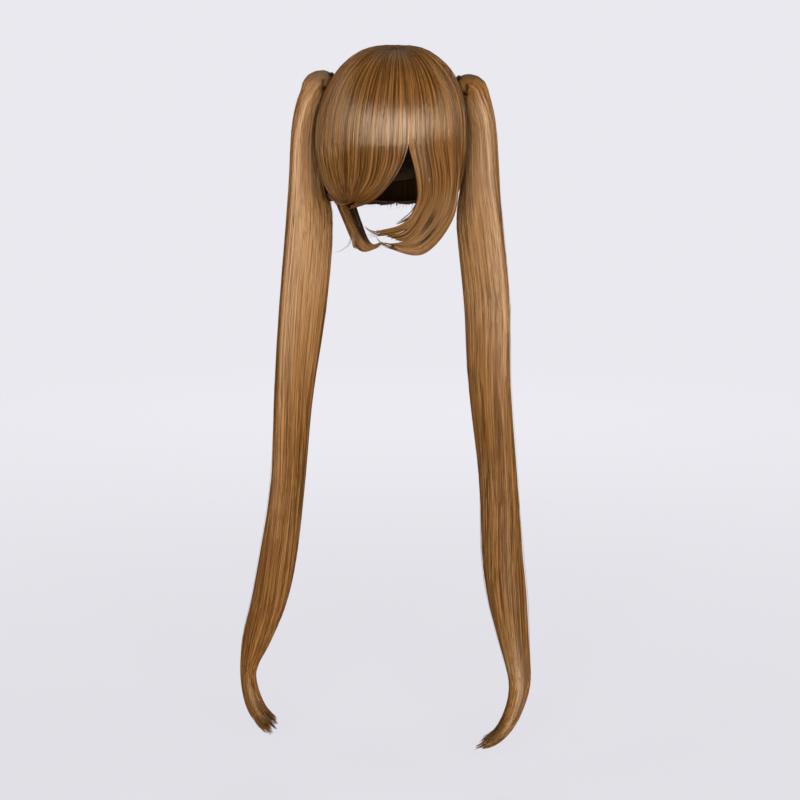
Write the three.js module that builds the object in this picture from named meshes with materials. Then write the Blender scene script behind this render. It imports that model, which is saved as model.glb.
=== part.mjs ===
// Pigtail wig: a short head of straight hair on an open net cap, with a long clip-on tail at each side.
// Millimetres, +Z up. The face looks towards -Y. Left and right are as seen from the front: left is -X.
// The origin is the inside of the crown, where the cap sits on the top of a head.
import * as THREE from "three";

// The head that the cap fits
const headBreadth = 152;
const headLength = 190;
const crownHeight = 92;
const domePower = 2.2;

// Cap and hair walls
const netWall = 1.2;
const hairWall = 7.1;
const whorlWall = 3.6;
const fullWallAt = 0.45;
const tipWall = 2.2;
const crownLift = 3;
const crownLean = 5;
const gap = 0.5;
const underGap = 0.8;
const netGap = 0.95;

// Whorl, where the hair of the crown starts
const whorlSide = 1;
const whorlFront = 20;
const whorlRadius = 7;
const patchGap = 0.5;
const patchShare = 0.8;

// How far the hair hangs below the widest line of the head
const fringeDrop = 73;
const lockDrop = 122;
const napeDrop = 86;
const napeTuck = 0.22;
const napePower = 1.8;
const lockWall = 4.6;

// Tails
const tailFall = 760;
const tailSpread = 90;
const tailThickness = 40;
const tailDepth = 76;
const tailStandOff = 0.95;
const joinRise = 62;
const joinBack = 15;

// Clips
const clipWall = 2.4;
const clipGap = 0.7;
const clipFrom = -50;
const clipTo = 92;

// How finely the faceted walls are cut
const netColumns = 40;
const netRows = 9;
const netSteps = 24;
const napeSteps = 6;
const domeRows = 9;
const hangRows = 9;
const backRows = 6;
const backColumns = 26;
const patchSides = 20;
const tailRows = 42;
const tailSides = 20;
const tailEase = 1.08;
const clipSteps = 16;
const clipRows = 3;

const rad = THREE.MathUtils.degToRad;
const lerp = THREE.MathUtils.lerp;

/** Rows of numbers as objects with named columns. */
function table(columns, rows) {
  return rows.map((row) => Object.fromEntries(columns.map((name, i) => [name, row[i]])));
}

// Rim of the cap: rise above the widest line, as a share of the crown's height
const rimTable = table(["turn", "rise"], [
  [0, 0.39],
  [35, 0.33],
  [60, 0.2],
  [80, 0.02],
  [95, 0.04],
  [120, -0.22],
  [150, -0.5],
  [180, -0.59],
]);

// Guides of the hair: a turn round the head in degrees, 0 at the front and positive to the right, the share
// of the head's outline, and the drop below the widest line as a share of the piece's own drop
const guideColumns = [
  "rootTurn", "rootShare", "rootDrop",
  "fallTurn", "fallShare", "fallDrop",
  "sweepTurn", "sweepShare", "sweepDrop",
  "hookTurn", "hookShare", "hookDrop",
  "tipTurn", "tipShare", "tipDrop",
];
const fringeGuides = table(guideColumns, [
  [-84, 1, 0, -82, 0.99, 0.25, -78, 0.96, 0.5, -71, 0.89, 0.74, -63, 0.82, 0.93],
  [-53, 1, 0, -51, 1, 0.25, -49, 0.98, 0.5, -46, 0.93, 0.74, -42, 0.88, 0.93],
  [-29, 1, 0, -29, 1, 0.25, -30, 1, 0.5, -32, 0.98, 0.72, -34, 0.95, 0.89],
  [-9, 1, 0, -10, 1, 0.25, -13, 1, 0.5, -20, 1, 0.71, -28, 0.98, 0.86],
  [4, 1, 0, 3, 1, 0.25, -3, 1.01, 0.51, -12, 1.01, 0.72, -26, 1, 0.9],
  [12.6, 1, 0, 9, 1, 0.25, 2, 1.01, 0.5, -12, 1.02, 0.81, -37, 1, 1],
]);
const cheekRightGuides = table(guideColumns, [
  [13.6, 1, 0, 19.5, 1, 0.3, 20.5, 0.98, 0.5, 11, 0.905, 0.69, -21, 0.8, 0.79],
  [25, 1, 0, 28, 1, 0.32, 26, 0.965, 0.53, 12, 0.88, 0.76, -18, 0.78, 0.84],
]);
const jawRightGuides = table(guideColumns, [
  [25.6, 1, 0, 30, 1, 0.32, 29.5, 0.965, 0.55, 14, 0.83, 0.85, -10, 0.75, 0.9],
  [47, 1, 0, 52, 0.98, 0.38, 48, 0.93, 0.64, 24, 0.8, 0.92, -7, 0.73, 0.885],
  [70, 1, 0, 68, 0.96, 0.4, 62, 0.92, 0.7, 30, 0.8, 1, -9, 0.72, 0.925],
]);
// The left jaw lock's root share is of the outline just inside the fringe
const jawLeftGuides = table(guideColumns, [
  [-76, 1, 0.06, -74, 0.829, 0.4, -60, 0.746, 0.68, -34, 0.705, 0.975, -12, 0.68, 0.935],
  [-56, 1, 0.06, -53, 0.85, 0.43, -43, 0.765, 0.7, -24, 0.71, 0.93, -9, 0.69, 0.9],
  [-39, 1, 0.06, -36, 0.88, 0.42, -31, 0.79, 0.69, -20, 0.735, 0.9, -8, 0.71, 0.877],
]);

// Ends of the back hair: the drop as a share of the nape's
const backEnds = table(["turn", "drop"], [
  [70, 0.84],
  [100, 0.86],
  [140, 0.95],
  [180, 1],
  [220, 0.96],
  [250, 0.88],
  [276, 0.84],
]);

// Tails, a row for each section: the fall from the join as a share of the tail's, the share of its own half
// thickness by which it stands off the head, the swing outwards as a share of the spread, the place behind
// the join as a share of the tail's depth, the half thickness and half depth as shares of the tail's, and
// the turn of the section in degrees, its rear edge inwards
const tailColumns = ["fall", "beside", "swing", "back", "thick", "deep", "turn"];
const tailLeftSections = table(tailColumns, [
  [0, 0, 0, 0, 0.4, 0.37, 0],
  [-0.0045, 0.8, 0, 0.01, 0.54, 0.55, 2],
  [0.002, 1, 0.04, 0.02, 0.62, 0.68, 4],
  [0.016, 1, 0.035, 0.04, 0.58, 0.78, 8],
  [0.034, 1, 0.02, 0.06, 0.6, 0.85, 12],
  [0.066, 1, 0, 0.09, 0.62, 0.9, 16],
  [0.141, 1, -0.01, 0.1, 0.7, 0.95, 20],
  [0.2, 1, -0.1, 0.1, 0.94, 0.97, 33],
  [0.328, 1, -0.01, 0.1, 0.95, 1, 35],
  [0.487, 1, 0.17, 0.07, 0.86, 0.95, 24],
  [0.616, 1, 0.26, -0.01, 0.84, 0.9, 18],
  [0.742, 1, 0.37, -0.2, 1, 0.84, 18],
  [0.807, 1, 0.49, -0.3, 0.98, 0.78, 14],
  [0.868, 1, 0.71, -0.46, 0.78, 0.62, 8],
  [0.915, 1, 0.88, -0.62, 0.5, 0.44, 0],
  [0.957, 1, 0.83, -0.76, 0.42, 0.34, 0],
  [0.979, 1, 0.72, -0.84, 0.4, 0.26, 0],
  [1, 1, 0.59, -0.92, 0.16, 0.1, 0],
]);
const tailRightSections = table(tailColumns, [
  [0.006, 0, 0, 0, 0.4, 0.37, 0],
  [0.002, 0.8, 0, 0.01, 0.58, 0.55, 2],
  [0.008, 1, 0.05, 0.02, 0.64, 0.68, 4],
  [0.022, 1, 0.05, 0.04, 0.64, 0.78, 8],
  [0.04, 1, 0.025, 0.06, 0.7, 0.85, 12],
  [0.066, 1, 0.03, 0.09, 0.73, 0.9, 14],
  [0.141, 1, 0.045, 0.1, 0.78, 0.95, 18],
  [0.204, 1, 0.03, 0.1, 0.84, 0.97, 31],
  [0.328, 1, 0.12, 0.1, 0.84, 1, 32],
  [0.454, 1, 0.15, 0.07, 0.88, 0.95, 28],
  [0.616, 1, 0.29, -0.01, 0.88, 0.9, 20],
  [0.742, 1, 0.31, -0.2, 1.06, 0.84, 18],
  [0.807, 1, 0.39, -0.34, 1.02, 0.78, 14],
  [0.866, 1, 0.515, -0.53, 0.82, 0.62, 8],
  [0.922, 1, 0.64, -0.79, 0.58, 0.44, 0],
  [0.949, 1, 0.61, -0.96, 0.5, 0.36, 0],
  [0.974, 1, 0.51, -1.15, 0.46, 0.28, 0],
  [0.992, 1, 0.38, -1.32, 0.34, 0.2, 0],
  [1, 1, 0.17, -1.49, 0.14, 0.08, 0],
]);

/** Half sizes of the dome at a height of so much above the head, lifted at the crown and leaning right. */
function domeSizes(above, lift = 0, lean = 0) {
  return {
    side: headBreadth / 2 + above,
    front: headLength / 2 + above,
    rise: crownHeight + above + lift,
    lean,
  };
}

/** Half sizes of the outside of the hair where its wall has a given depth. */
function hairSizes(wall) {
  return domeSizes(netWall + netGap + wall, crownLift, crownLean);
}

const widestZ = -crownHeight;
const joinZ = widestZ + joinRise;
const netInside = domeSizes(0);
const netOutside = domeSizes(netWall);
const hairInside = domeSizes(netWall + netGap);
const hairOutside = hairSizes(hairWall);
const whorl = { x: whorlSide / hairOutside.side, y: -whorlFront / hairOutside.front };

/** Point of a dome over a place of the plan whose outline is the unit circle. */
function domePoint(plan, sizes) {
  const share = Math.min(1, Math.hypot(plan.x, plan.y));
  const height = Math.pow(1 - Math.pow(share, domePower), 1 / domePower);
  const x = plan.x * sizes.side + sizes.lean * height;
  return new THREE.Vector3(x, plan.y * sizes.front, widestZ + sizes.rise * height);
}

/** Point at a turn round the head, at a share of the outline and a height. */
function sidePoint(turn, share, z, sizes) {
  const angle = rad(turn);
  return new THREE.Vector3(sizes.side * share * Math.sin(angle), -sizes.front * share * Math.cos(angle), z);
}

/** Share of the head's outline that is left at a drop below the widest line. */
function napeShare(drop) {
  return 1 - napeTuck * Math.pow(Math.max(0, drop) / napeDrop, napePower);
}

/** Distance from the mid-plane to the head hair on one side, at a height, over the place of the joins. */
function hairSide(z, side) {
  const up = THREE.MathUtils.clamp((z - widestZ) / hairOutside.rise, 0, 1);
  const reach = Math.pow(1 - Math.pow(up, domePower), 1 / domePower);
  const across = Math.sqrt(Math.max(0, reach ** 2 - (joinBack / hairOutside.front) ** 2));
  return hairOutside.side * across + side * hairOutside.lean * up;
}

/** Value of a column at a place along the rows, on a smooth curve through them. */
function along(rows, key, column, at) {
  const last = rows.length - 1;
  let i = 0;
  while (i < last - 1 && at > rows[i + 1][key]) {
    i += 1;
  }
  const before = rows[Math.max(0, i - 1)];
  const a = rows[i];
  const b = rows[i + 1];
  const after = rows[Math.min(last, i + 2)];
  const span = b[key] - a[key];
  const t = THREE.MathUtils.clamp((at - a[key]) / span, 0, 1);
  const slopeA = ((b[column] - before[column]) / (b[key] - before[key])) * span;
  const slopeB = ((after[column] - a[column]) / (after[key] - a[key])) * span;
  const t2 = t * t;
  const t3 = t2 * t;
  return (2 * t3 - 3 * t2 + 1) * a[column] + (t3 - 2 * t2 + t) * slopeA
    + (3 * t2 - 2 * t3) * b[column] + (t3 - t2) * slopeB;
}

/** Closed body through closed rings of equally many points. Ends are closed by a strip across the ring, or
    by a fan to the two given poles. */
function loft(rings, poles) {
  const count = rings[0].length;
  const positions = rings.flat().flatMap((p) => [p.x, p.y, p.z]);
  const faces = [];
  for (let r = 0; r < rings.length - 1; r += 1) {
    for (let i = 0; i < count; i += 1) {
      const a = r * count + i;
      const b = r * count + ((i + 1) % count);
      faces.push(a, b, b + count, a, b + count, a + count);
    }
  }
  const lastRing = (rings.length - 1) * count;
  if (poles) {
    const first = rings.length * count;
    poles.forEach((p) => positions.push(p.x, p.y, p.z));
    for (let i = 0; i < count; i += 1) {
      const next = (i + 1) % count;
      faces.push(first, next, i);
      faces.push(first + 1, lastRing + i, lastRing + next);
    }
  } else {
    for (let i = 0; i < count / 2 - 1; i += 1) {
      const far = count - 1 - i;
      faces.push(i, far, far - 1, i, far - 1, i + 1);
      faces.push(lastRing + i, lastRing + far - 1, lastRing + far);
      faces.push(lastRing + i, lastRing + i + 1, lastRing + far - 1);
    }
  }
  const geometry = new THREE.BufferGeometry();
  geometry.setAttribute("position", new THREE.Float32BufferAttribute(positions, 3));
  geometry.setIndex(facingOut(positions, faces));
  geometry.computeVertexNormals();
  return geometry;
}

/** The faces, turned round if they enclose a negative volume. */
function facingOut(positions, faces) {
  const corner = (i) => new THREE.Vector3().fromArray(positions, faces[i] * 3);
  let volume = 0;
  for (let i = 0; i < faces.length; i += 3) {
    volume += corner(i).dot(corner(i + 1).cross(corner(i + 2)));
  }
  return volume > 0 ? faces : faces.slice().reverse();
}

/** Rings of a wall from its outer and inner rows, with both edges drawn in by half the gap. */
function wallRings(outerRows, innerRows) {
  return outerRows.map((outer, r) => {
    const outside = drawnIn(outer);
    const inside = drawnIn(innerRows[r]);
    return outside.concat(inside.reverse());
  });
}

/** A row of points whose two ends are moved towards their neighbours by half the gap. */
function drawnIn(row) {
  const points = row.map((p) => p.clone());
  const last = points.length - 1;
  const inwards = (end, next) => next.clone().sub(end).setLength(gap / 2);
  points[0].add(inwards(row[0], row[1]));
  points[last].add(inwards(row[last], row[last - 1]));
  return points;
}

/** Depth of the hair on the dome at a share of the way from the whorl to the widest line. */
function domeWall(way) {
  return lerp(whorlWall, hairWall, THREE.MathUtils.smoothstep(way, 0, fullWallAt));
}

/** Rows of the dome from the rim of the whorl to the widest line, for a list of turns. */
function domePart(turns) {
  const outer = [];
  const inner = [];
  for (let i = 0; i < domeRows; i += 1) {
    const ease = Math.sin((i / domeRows) * (Math.PI / 2));
    const outerRow = [];
    const innerRow = [];
    for (const turn of turns) {
      const rim = { x: Math.sin(rad(turn)), y: -Math.cos(rad(turn)) };
      const reach = Math.hypot((rim.x - whorl.x) * hairOutside.side, (rim.y - whorl.y) * hairOutside.front);
      const way = lerp(whorlRadius / reach, 1, ease);
      const plan = { x: lerp(whorl.x, rim.x, way), y: lerp(whorl.y, rim.y, way) };
      outerRow.push(domePoint(plan, hairSizes(domeWall(way))));
      innerRow.push(domePoint(plan, hairInside));
    }
    outer.push(outerRow);
    inner.push(innerRow);
  }
  return { outer, inner };
}

/** The point, moved level towards the middle of the head. */
function movedIn(point, distance) {
  const inwards = new THREE.Vector3(point.x / hairOutside.side ** 2, point.y / hairOutside.front ** 2, 0);
  return point.clone().sub(inwards.setLength(distance));
}

/** Guides in between, so many steps from each tabled guide to the next. */
function spreadGuides(guides, perGuide) {
  const numbered = guides.map((row, i) => ({ ...row, place: i }));
  const count = (guides.length - 1) * perGuide;
  return Array.from({ length: count + 1 }, (_, i) => {
    const place = i / perGuide;
    return Object.fromEntries(guideColumns.map((name) => [name, along(numbered, "place", name, place)]));
  });
}

/** Points down one guide, spaced evenly from its root to its tip. */
function guidePoints(guide, drop) {
  const stations = ["root", "fall", "sweep", "hook", "tip"].map((name) => {
    const z = widestZ - guide[`${name}Drop`] * drop;
    return sidePoint(guide[`${name}Turn`], guide[`${name}Share`], z, hairOutside);
  });
  return new THREE.CatmullRomCurve3(stations, false, "centripetal").getPoints(hangRows);
}

/** Hanging rows of a lock whose guides are given, its wall thinning to the tip. */
function hangPart(guides, drop, rootWall) {
  const lines = guides.map((guide) => guidePoints(guide, drop));
  const outer = [];
  const inner = [];
  for (let r = 0; r <= hangRows; r += 1) {
    const wall = lerp(rootWall, tipWall, r / hangRows);
    outer.push(lines.map((line) => line[r]));
    inner.push(lines.map((line) => movedIn(line[r], wall)));
  }
  return { outer, inner };
}

/** A piece of hair that starts at the whorl, runs over the dome and hangs down its guides. */
function crownHair(guideTable, drop, perGuide) {
  const guides = spreadGuides(guideTable, perGuide);
  const dome = domePart(guides.map((guide) => guide.rootTurn));
  const hang = hangPart(guides, drop, hairWall);
  return loft(wallRings([...dome.outer, ...hang.outer], [...dome.inner, ...hang.inner]));
}

/** Share of the outside at which hair lies just inside the fringe, at a turn and a drop. */
function underShare(turn, drop) {
  const reach = Math.hypot(hairOutside.side * Math.sin(rad(turn)), hairOutside.front * Math.cos(rad(turn)));
  return (reach - lerp(hairWall, tipWall, drop / fringeDrop) - underGap) / reach;
}

/** Hair that starts under the fringe and hangs down its guides. */
function underHair(guideTable, drop, perGuide) {
  const guides = guideTable.map((guide) => ({
    ...guide,
    rootShare: guide.rootShare * underShare(guide.rootTurn, guide.rootDrop * drop),
  }));
  const hang = hangPart(spreadGuides(guides, perGuide), drop, lockWall);
  return loft(wallRings(hang.outer, hang.inner));
}

/** Side and back hair, from the whorl to its ends at the nape. */
function backHair() {
  const first = backEnds[0].turn;
  const last = backEnds[backEnds.length - 1].turn;
  const turns = Array.from({ length: backColumns + 1 }, (_, i) => lerp(first, last, i / backColumns));
  const { outer, inner } = domePart(turns);
  for (let r = 0; r <= backRows; r += 1) {
    const down = r / backRows;
    const wall = lerp(hairWall, tipWall, down);
    const outerRow = turns.map((turn) => {
      const drop = along(backEnds, "turn", "drop", turn) * napeDrop * down;
      return sidePoint(turn, napeShare(drop), widestZ - drop, hairOutside);
    });
    outer.push(outerRow);
    inner.push(outerRow.map((point) => movedIn(point, wall)));
  }
  return loft(wallRings(outer, inner));
}

/** One line of the cap from the crown to its rim, at a turn. */
function capLine(turn, sizes) {
  const rise = along(rimTable, "turn", "rise", Math.abs(turn)) * crownHeight;
  const points = [];
  for (let i = 1; i <= netSteps; i += 1) {
    const share = Math.pow(Math.sin((i / netSteps) * (Math.PI / 2)), 2 / domePower);
    const plan = { x: share * Math.sin(rad(turn)), y: -share * Math.cos(rad(turn)) };
    const point = domePoint(plan, sizes);
    if (point.z < widestZ + rise) {
      break;
    }
    points.push(point);
  }
  if (rise > 0) {
    const share = Math.pow(1 - Math.pow(rise / sizes.rise, domePower), 1 / domePower);
    points.push(sidePoint(turn, share, widestZ + rise, sizes));
  }
  for (let i = 1; i <= napeSteps && rise < 0; i += 1) {
    const drop = (-rise * i) / napeSteps;
    points.push(sidePoint(turn, napeShare(drop), widestZ - drop, sizes));
  }
  return new THREE.CatmullRomCurve3(points).getSpacedPoints(netRows);
}

/** Net cap, open below, with its hairline, ear and nape rim. */
function capNet() {
  const turns = Array.from({ length: netColumns }, (_, i) => -180 + (360 * i) / netColumns);
  const outer = turns.map((turn) => capLine(turn, netOutside));
  const inner = turns.map((turn) => capLine(turn, netInside));
  const rows = Array.from({ length: netRows + 1 }, (_, r) => r);
  const rings = rows.map((r) => outer.map((line) => line[r]));
  rows.slice().reverse().forEach((r) => rings.push(inner.map((line) => line[r])));
  const centre = { x: 0, y: 0 };
  return loft(rings, [domePoint(centre, netOutside), domePoint(centre, netInside)]);
}

/** Small scalp patch in the middle of the whorl, on the cap in the hole in the hair. */
function crownPatch() {
  const rim = hairSizes(whorlWall);
  const layer = (part) => ({
    side: lerp(hairInside.side, rim.side, part),
    front: lerp(hairInside.front, rim.front, part),
    rise: lerp(hairInside.rise, rim.rise, part),
    lean: lerp(hairInside.lean, rim.lean, part),
  });
  const ring = (radius, part) => Array.from({ length: patchSides }, (_, i) => {
    const angle = (2 * Math.PI * i) / patchSides;
    return domePoint({
      x: whorl.x + (radius * Math.cos(angle)) / hairOutside.side,
      y: whorl.y + (radius * Math.sin(angle)) / hairOutside.front,
    }, layer(part));
  });
  const edge = whorlRadius - patchGap;
  const rings = [ring(edge / 2, 0), ring(edge, 0), ring(edge, patchShare), ring(edge / 2, patchShare)];
  return loft(rings, [domePoint(whorl, layer(0)), domePoint(whorl, layer(patchShare))]);
}

/** Middle, direction and half sizes of each section down a tail; side is -1 left and 1 right. */
function tailStations(sections, side) {
  const places = sections.map((row) => {
    const z = joinZ - row.fall * tailFall;
    const y = joinBack + row.back * tailDepth;
    const thick = (row.thick * tailThickness) / 2;
    const x = side * (hairSide(z, side) + tailStandOff + row.beside * thick + row.swing * tailSpread);
    return new THREE.Vector3(x, y, z);
  });
  const path = new THREE.CatmullRomCurve3(places, false, "centripetal");
  const last = sections.length - 1;
  const numbered = sections.map((row, i) => ({ ...row, place: i }));
  return Array.from({ length: tailRows + 1 }, (_, r) => {
    const t = Math.pow(r / tailRows, tailEase);
    const place = t * last;
    return {
      middle: path.getPoint(t),
      ahead: path.getTangent(t),
      thick: (along(numbered, "place", "thick", place) * tailThickness) / 2,
      deep: (along(numbered, "place", "deep", place) * tailDepth) / 2,
      turn: along(numbered, "place", "turn", place),
    };
  });
}

/** The two directions across a section: out of the head, and towards the back. */
function acrossSection(ahead, turn, side) {
  const back = new THREE.Vector3(0, 1, 0).addScaledVector(ahead, -ahead.y).normalize();
  const out = new THREE.Vector3().crossVectors(back, ahead).multiplyScalar(-side).normalize();
  const angle = rad(turn);
  return {
    out: out.clone().multiplyScalar(Math.cos(angle)).addScaledVector(back, Math.sin(angle)),
    back: back.clone().multiplyScalar(Math.cos(angle)).addScaledVector(out, -Math.sin(angle)),
  };
}

/** Ring of points round an ellipse across a section. */
function sectionRing(station, side) {
  const { out, back } = acrossSection(station.ahead, station.turn, side);
  return Array.from({ length: tailSides }, (_, i) => {
    const angle = (2 * Math.PI * (i + 0.5)) / tailSides;
    return station.middle.clone()
      .addScaledVector(out, station.thick * Math.sin(angle))
      .addScaledVector(back, station.deep * Math.cos(angle));
  });
}

/** A tail: a fountain over the clip, then one long lock that hangs, swings out and curls forward. */
function tail(sections, side) {
  return loft(tailStations(sections, side).map((station) => sectionRing(station, side)));
}

/** A clip: a plain curved jaw over the top and the back of the root of a tail, on the hair of the head. */
function clip(sections, side) {
  const held = tailStations(sections, side).slice(0, clipRows);
  const rings = [];
  for (let i = 0; i <= clipSteps; i += 1) {
    const angle = rad(lerp(clipFrom, clipTo, i / clipSteps));
    const line = (clear) => held.map((station) => {
      const { out, back } = acrossSection(station.ahead, station.turn, side);
      return station.middle.clone()
        .addScaledVector(out, (station.thick + clear) * Math.cos(angle))
        .addScaledVector(back, (station.deep + clear) * Math.sin(angle));
    });
    rings.push(line(clipGap).concat(line(clipGap + clipWall).reverse()));
  }
  return loft(rings);
}

/** A named piece with its own finish. */
function piece(name, geometry, colour, roughness) {
  const material = new THREE.MeshStandardMaterial({ color: colour, roughness, metalness: 0 });
  const mesh = new THREE.Mesh(geometry, material);
  mesh.name = name;
  return mesh;
}

const hairColour = 0x84603b;
const tailColour = 0xa27d59;
const group = new THREE.Group();
group.add(piece("cap_net", capNet(), 0x4a3323, 0.9));
group.add(piece("crown_patch", crownPatch(), 0x9c8470, 0.6));
group.add(piece("hair_back", backHair(), hairColour, 0.45));
group.add(piece("fringe", crownHair(fringeGuides, fringeDrop, 3), hairColour, 0.42));
group.add(piece("cheek_lock_right", crownHair(cheekRightGuides, lockDrop, 3), hairColour, 0.42));
group.add(piece("jaw_lock_right", crownHair(jawRightGuides, lockDrop, 4), hairColour, 0.42));
group.add(piece("jaw_lock_left", underHair(jawLeftGuides, lockDrop, 3), hairColour, 0.42));
group.add(piece("clip_left", clip(tailLeftSections, -1), 0x15110f, 0.35));
group.add(piece("clip_right", clip(tailRightSections, 1), 0x15110f, 0.35));
group.add(piece("pigtail_left", tail(tailLeftSections, -1), tailColour, 0.42));
group.add(piece("pigtail_right", tail(tailRightSections, 1), tailColour, 0.42));

export default group;
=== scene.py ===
"""Pigtail wig: short straight golden-brown hair on a net cap, with a very long clip-on tail at each side.

Metres, +Z up. The face looks towards -Y, and left is -X, as seen from the front. The origin is the inside of
the crown of the cap. Each mass of hair is a grooved form with single strands laid along it.
"""
import logging
import math
from dataclasses import dataclass
from enum import Enum
from typing import Any

import bpy
import numpy as np
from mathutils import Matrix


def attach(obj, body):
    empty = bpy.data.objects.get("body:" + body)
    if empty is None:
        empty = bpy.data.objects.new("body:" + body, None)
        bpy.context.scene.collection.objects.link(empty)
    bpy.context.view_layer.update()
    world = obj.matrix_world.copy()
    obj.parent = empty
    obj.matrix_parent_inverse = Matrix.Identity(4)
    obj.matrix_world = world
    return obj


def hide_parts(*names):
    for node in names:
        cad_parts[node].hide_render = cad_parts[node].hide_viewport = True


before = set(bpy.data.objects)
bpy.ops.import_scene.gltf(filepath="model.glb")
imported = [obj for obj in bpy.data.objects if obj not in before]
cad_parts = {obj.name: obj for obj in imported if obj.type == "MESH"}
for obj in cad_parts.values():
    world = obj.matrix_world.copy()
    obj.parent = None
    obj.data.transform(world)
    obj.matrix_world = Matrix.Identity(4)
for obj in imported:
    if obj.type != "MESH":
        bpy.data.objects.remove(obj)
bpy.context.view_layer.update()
LOG = logging.getLogger("pigtail_wig")
Array = np.ndarray
Colour = tuple[float, float, float]
Triple = tuple[float, float, float]
FULL_TURN = 2 * math.pi
# Share of the baking map that the end caps of a body take, the share of its column that a strand leaves free
# at each edge, and the share of its height that a strand's end takes
CAP_MAP = 0.02
STRAND_MARGIN = 0.1
STRAND_END = 0.01
# Angles of a strand's three corners, the first one below
STRAND_CORNERS = np.array([0.5, 1.1667, 1.8333]) * math.pi
# Metres across and along of the grooves in the head hair, coarse to fine, and their depths and tones; the
# tones are painted shade, darker where the grooves sink
GROOVE_SIZES = ((0.0085, 0.13), (0.0030, 0.09), (0.0014, 0.07))
GROOVE_DEPTHS = (0.00026, 0.00020, 0.00020)
GROOVE_PAINTED_SHADES = (0.3, 0.4)


def mix(a: Any, b: Any, share: Any) -> Any:
    """Straight blend: a + (b - a) * share."""
    return a + (b - a) * share


def smooth(t: Any) -> Any:
    """Smooth step from 0 to 1: 3t^2 - 2t^3 with t held between 0 and 1."""
    t = np.clip(t, 0.0, 1.0)
    return t * t * (3.0 - 2.0 * t)


def taper(t: Array, root: float, grown: float, tip: float, late: float) -> Array:
    """Thickness of a strand as a share of its full one: (root to 1 by grown) * (1 to tip from late on).

    Args:
        t: places from 0 to 1 along the strand.
        root: share at its root.
        grown: place where it reaches its full thickness.
        tip: share at its tip.
        late: place where it starts to thin.

    Returns:
        The share at each place.
    """
    return mix(root, 1.0, smooth(t / grown)) * mix(1.0, tip, smooth((t - late) / (1.0 - late)))


def unit(vectors: Array) -> Array:
    """The vectors at length 1."""
    length = np.linalg.norm(vectors, axis=-1, keepdims=True)
    return vectors / np.maximum(length, 1e-9)


def through(keys: Array, values: Array, at: Array) -> Array:
    """Values on a smooth curve through the rows of a table.

    Cubic Hermite pieces, whose slope at a row is that of the chord between its two neighbours.

    Args:
        keys: rising key of each row.
        values: rows by columns.
        at: keys to read the table at.

    Returns:
        One row of values for each key in at.
    """
    keys = np.asarray(keys, float)
    values = np.asarray(values, float)
    at = np.asarray(at, float)
    last = len(keys) - 1
    i = np.clip(np.searchsorted(keys, at) - 1, 0, last - 1)
    before = np.maximum(i - 1, 0)
    after = np.minimum(i + 2, last)
    span = (keys[i + 1] - keys[i])[:, None]
    t = np.clip((at - keys[i])[:, None] / span, 0.0, 1.0)
    slope_a = (values[i + 1] - values[before]) / (keys[i + 1] - keys[before])[:, None] * span
    slope_b = (values[after] - values[i]) / (keys[after] - keys[i])[:, None] * span
    t2 = t * t
    t3 = t2 * t
    start = (2 * t3 - 3 * t2 + 1) * values[i] + (t3 - 2 * t2 + t) * slope_a
    return start + (3 * t2 - 2 * t3) * values[i + 1] + (t3 - t2) * slope_b


def curve_through(stations: Array, at: Array) -> Array:
    """Points on centripetal Catmull-Rom curves through stations.

    Args:
        stations: stations by lines by 3.
        at: places from 0 to 1, spaced evenly over the stations. Past 1 the last stretch runs on straight.

    Returns:
        Places by lines by 3.
    """
    count = len(stations)
    first = 2 * stations[0] - stations[1]
    last = 2 * stations[-1] - stations[-2]
    points = np.concatenate([first[None], stations, last[None]])
    place = np.clip(at, 0.0, 1.0) * (count - 1)
    i = np.minimum(place.astype(int), count - 2)
    w = (place - i)[:, None, None]
    p0, p1, p2, p3 = points[i], points[i + 1], points[i + 2], points[i + 3]
    d0 = np.sqrt(np.linalg.norm(p1 - p0, axis=-1, keepdims=True) + 1e-12)
    d1 = np.sqrt(np.linalg.norm(p2 - p1, axis=-1, keepdims=True) + 1e-12)
    d2 = np.sqrt(np.linalg.norm(p3 - p2, axis=-1, keepdims=True) + 1e-12)
    slope_a = ((p1 - p0) / d0 - (p2 - p0) / (d0 + d1) + (p2 - p1) / d1) * d1
    slope_b = ((p2 - p1) / d1 - (p3 - p1) / (d1 + d2) + (p3 - p2) / d2) * d1
    w2 = w * w
    w3 = w2 * w
    start = (2 * w3 - 3 * w2 + 1) * p1 + (w3 - 2 * w2 + w) * slope_a
    inside = start + (3 * w2 - 2 * w3) * p2 + (w3 - w2) * slope_b
    past = (np.maximum(at, 1.0) - 1.0)[:, None, None] * (count - 1)
    return inside + past * (stations[-1] - stations[-2])


def noise(x: Array, y: Array, seed: int, wrap: int = 256) -> Array:
    """Smooth noise from -1 to 1: random values on a lattice, blended with the smooth step.

    Args:
        x: place across, in lattice cells; it repeats after wrap cells.
        y: place along, in lattice cells.
        seed: seed of the random values.
        wrap: number of cells across before the noise repeats.

    Returns:
        Noise at each place.
    """
    cells = np.random.default_rng(seed).uniform(-1.0, 1.0, (wrap, 256))
    x, y = np.broadcast_arrays(x, y)
    column = np.floor(x).astype(int)
    row = np.floor(y).astype(int)
    across = smooth(x - column)
    down = smooth(y - row)
    near = mix(cells[column % wrap, row % 256], cells[(column + 1) % wrap, row % 256], across)
    far = mix(cells[column % wrap, (row + 1) % 256], cells[(column + 1) % wrap, (row + 1) % 256], across)
    return mix(near, far, down)


def normals_of(grid: Array) -> Array:
    """Directions square to a grid of points: the cross product of its steps along the rows and columns."""
    return unit(np.cross(np.gradient(grid, axis=1), np.gradient(grid, axis=0)))


def run_of(grid: Array) -> Array:
    """Metres down each column of a grid of points: the sum of its steps from the first row."""
    steps = np.linalg.norm(np.diff(grid, axis=0), axis=2)
    return np.concatenate([np.zeros((1, grid.shape[1])), np.cumsum(steps, axis=0)])


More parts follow.
